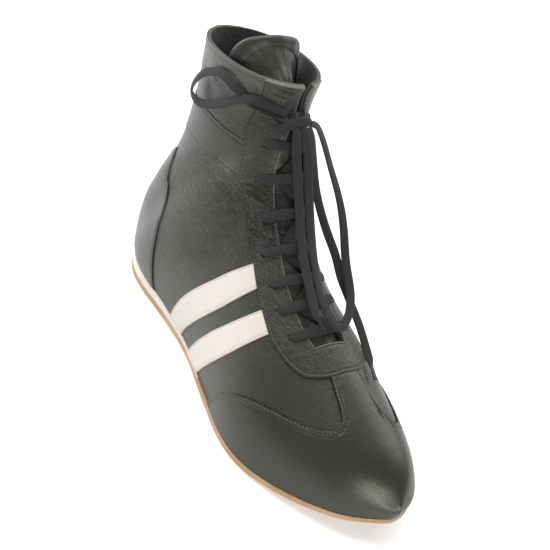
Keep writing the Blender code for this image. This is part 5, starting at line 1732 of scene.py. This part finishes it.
def stitch_tree(look):
    """Lines in, one stitch per pitch along them out."""
    tree = bpy.data.node_groups.new("stitches_on_lines", "GeometryNodeTree")
    tree.interface.new_socket("Geometry", in_out="INPUT", socket_type="NodeSocketGeometry")
    sockets = {name: tree.interface.new_socket(name, in_out="INPUT", socket_type="NodeSocketFloat").identifier
               for name in ("Pitch", "Stitch length", "Stitch width")}
    tree.interface.new_socket("Geometry", in_out="OUTPUT", socket_type="NodeSocketGeometry")

    def add(kind, settings=(), **links):
        made = tree.nodes.new(kind)
        for key, value in settings:
            setattr(made, key, value)
        for key, value in links.items():
            if isinstance(value, bpy.types.NodeSocket):
                tree.links.new(value, made.inputs[key.replace("_", " ")])
            else:
                made.inputs[key.replace("_", " ")].default_value = value
        return made

    given = add("NodeGroupInput").outputs
    curve = add("GeometryNodeMeshToCurve", Mesh=given["Geometry"])
    even = add("GeometryNodeResampleCurve", (("mode", "LENGTH"),), Curve=curve.outputs[0],
               Length=given["Pitch"])
    outward = add("GeometryNodeInputNamedAttribute", (("data_type", "FLOAT_VECTOR"),), Name="outward")
    along = add("GeometryNodeInputTangent")
    first = add("FunctionNodeAlignRotationToVector", (("axis", "X"),), Vector=along.outputs[0])
    second = add("FunctionNodeAlignRotationToVector", (("axis", "Z"), ("pivot_axis", "X")),
                 Rotation=first.outputs[0], Vector=outward.outputs[0])
    ball = add("GeometryNodeMeshUVSphere", Segments=6, Rings=4, Radius=0.5)
    size = add("ShaderNodeCombineXYZ", X=given["Stitch length"], Y=given["Stitch width"],
               Z=given["Stitch width"])
    shaped = add("GeometryNodeTransform", Geometry=ball.outputs[0], Scale=size.outputs[0])
    placed = add("GeometryNodeInstanceOnPoints", Points=even.outputs[0], Instance=shaped.outputs[0],
                 Rotation=second.outputs[0])
    real = add("GeometryNodeRealizeInstances", Geometry=placed.outputs[0])
    painted = add("GeometryNodeSetMaterial", Geometry=real.outputs[0], Material=look)
    add("NodeGroupOutput", Geometry=painted.outputs[0])
    return tree, sockets


for thread, colour, slot in THREADS:
    look = thread_finish(f"{thread}_thread", colour)
    points = np.concatenate([line for line, _ in seams[thread]])
    starts = np.cumsum([0] + [len(line) for line, _ in seams[thread]])
    edges = [(k, k + 1) for first, last in zip(starts[:-1], starts[1:]) for k in range(first, last - 1)]
    mesh = bpy.data.meshes.new(f"{thread}_seam_lines")
    mesh.from_pydata([tuple(p) for p in points], edges, [])
    outward = mesh.attributes.new("outward", "FLOAT_VECTOR", "POINT")
    outward.data.foreach_set("vector", np.concatenate([normal for _, normal in seams[thread]]).ravel())
    stitches = bpy.data.objects.new(f"{thread}_stitches", mesh)
    bpy.context.scene.collection.objects.link(stitches)
    tree, sockets = stitch_tree(look)
    sewing = stitches.modifiers.new("sewing", "NODES")
    sewing.node_group = tree
    sewing[sockets["Pitch"]] = STITCH_PITCH
    sewing[sockets["Stitch length"]] = STITCH_LENGTH
    sewing[sockets["Stitch width"]] = STITCH_WIDTH
    plain_mesh(stitches)
    stitches.data.shade_smooth()
    dress(stitches, None)


# Studio: a white floor that meets the soles, an even white surround and large soft
# lights, as in a catalogue picture.
FLOOR_SIZE = 6.0
FLOOR_COLOUR = (0.70, 0.71, 0.72)
floor_half = FLOOR_SIZE / 2
floor_finish = Finish("studio_floor")
floor_tone = floor_finish.noise(floor_finish.place(), 3.0, 2.0)
floor_finish.feed("Base Color", floor_finish.blend(floor_tone, FLOOR_COLOUR, tinted(FLOOR_COLOUR, 1.02)))
floor_finish.settle(Roughness=0.9, Emission_Color=(1.0, 1.0, 1.0, 1.0), Emission_Strength=0.42)
floor = new_mesh("studio_floor", [(-floor_half, -floor_half, -0.0002), (floor_half, -floor_half, -0.0002),
                                  (floor_half, floor_half, -0.0002), (-floor_half, floor_half, -0.0002)],
                 [(0, 1, 2, 3)], floor_finish.material)
floor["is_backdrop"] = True

world = bpy.data.worlds.new("studio_air")
bpy.context.scene.world = world
world.use_nodes = True
world.node_tree.nodes["Background"].inputs["Color"].default_value = (1.0, 1.0, 1.0, 1)
world.node_tree.nodes["Background"].inputs["Strength"].default_value = 0.45

# Lights: where each stands, what it points at, its size and power
LIGHTS = (
    ("window_left", (-0.95, -0.55, 0.80), (0.0, 0.0, 0.09), 1.0, 17.0),
    ("window_inner", (0.05, 1.00, 0.80), (0.16, 0.0, 0.04), 0.8, 6.0),
    ("front", (1.42, -0.40, 0.30), (0.22, 0.0, 0.03), 0.18, 5.5),
    ("overhead", (-0.25, 0.05, 1.30), (0.05, 0.0, 0.05), 0.8, 10.0),
)
for name, place, aim, size, power in LIGHTS:
    data = bpy.data.lights.new(name, "AREA")
    data.shape = "SQUARE"
    data.size = size
    data.energy = power
    lamp = bpy.data.objects.new(name, data)
    bpy.context.scene.collection.objects.link(lamp)
    lamp.matrix_world = (Matrix.Translation(Vector(place))
                         @ (Vector(place) - Vector(aim)).to_track_quat("Z", "Y").to_matrix().to_4x4())

# A plain straight tone curve, so that white stays white
bpy.context.scene.view_settings.view_transform = "Standard"

low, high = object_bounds()
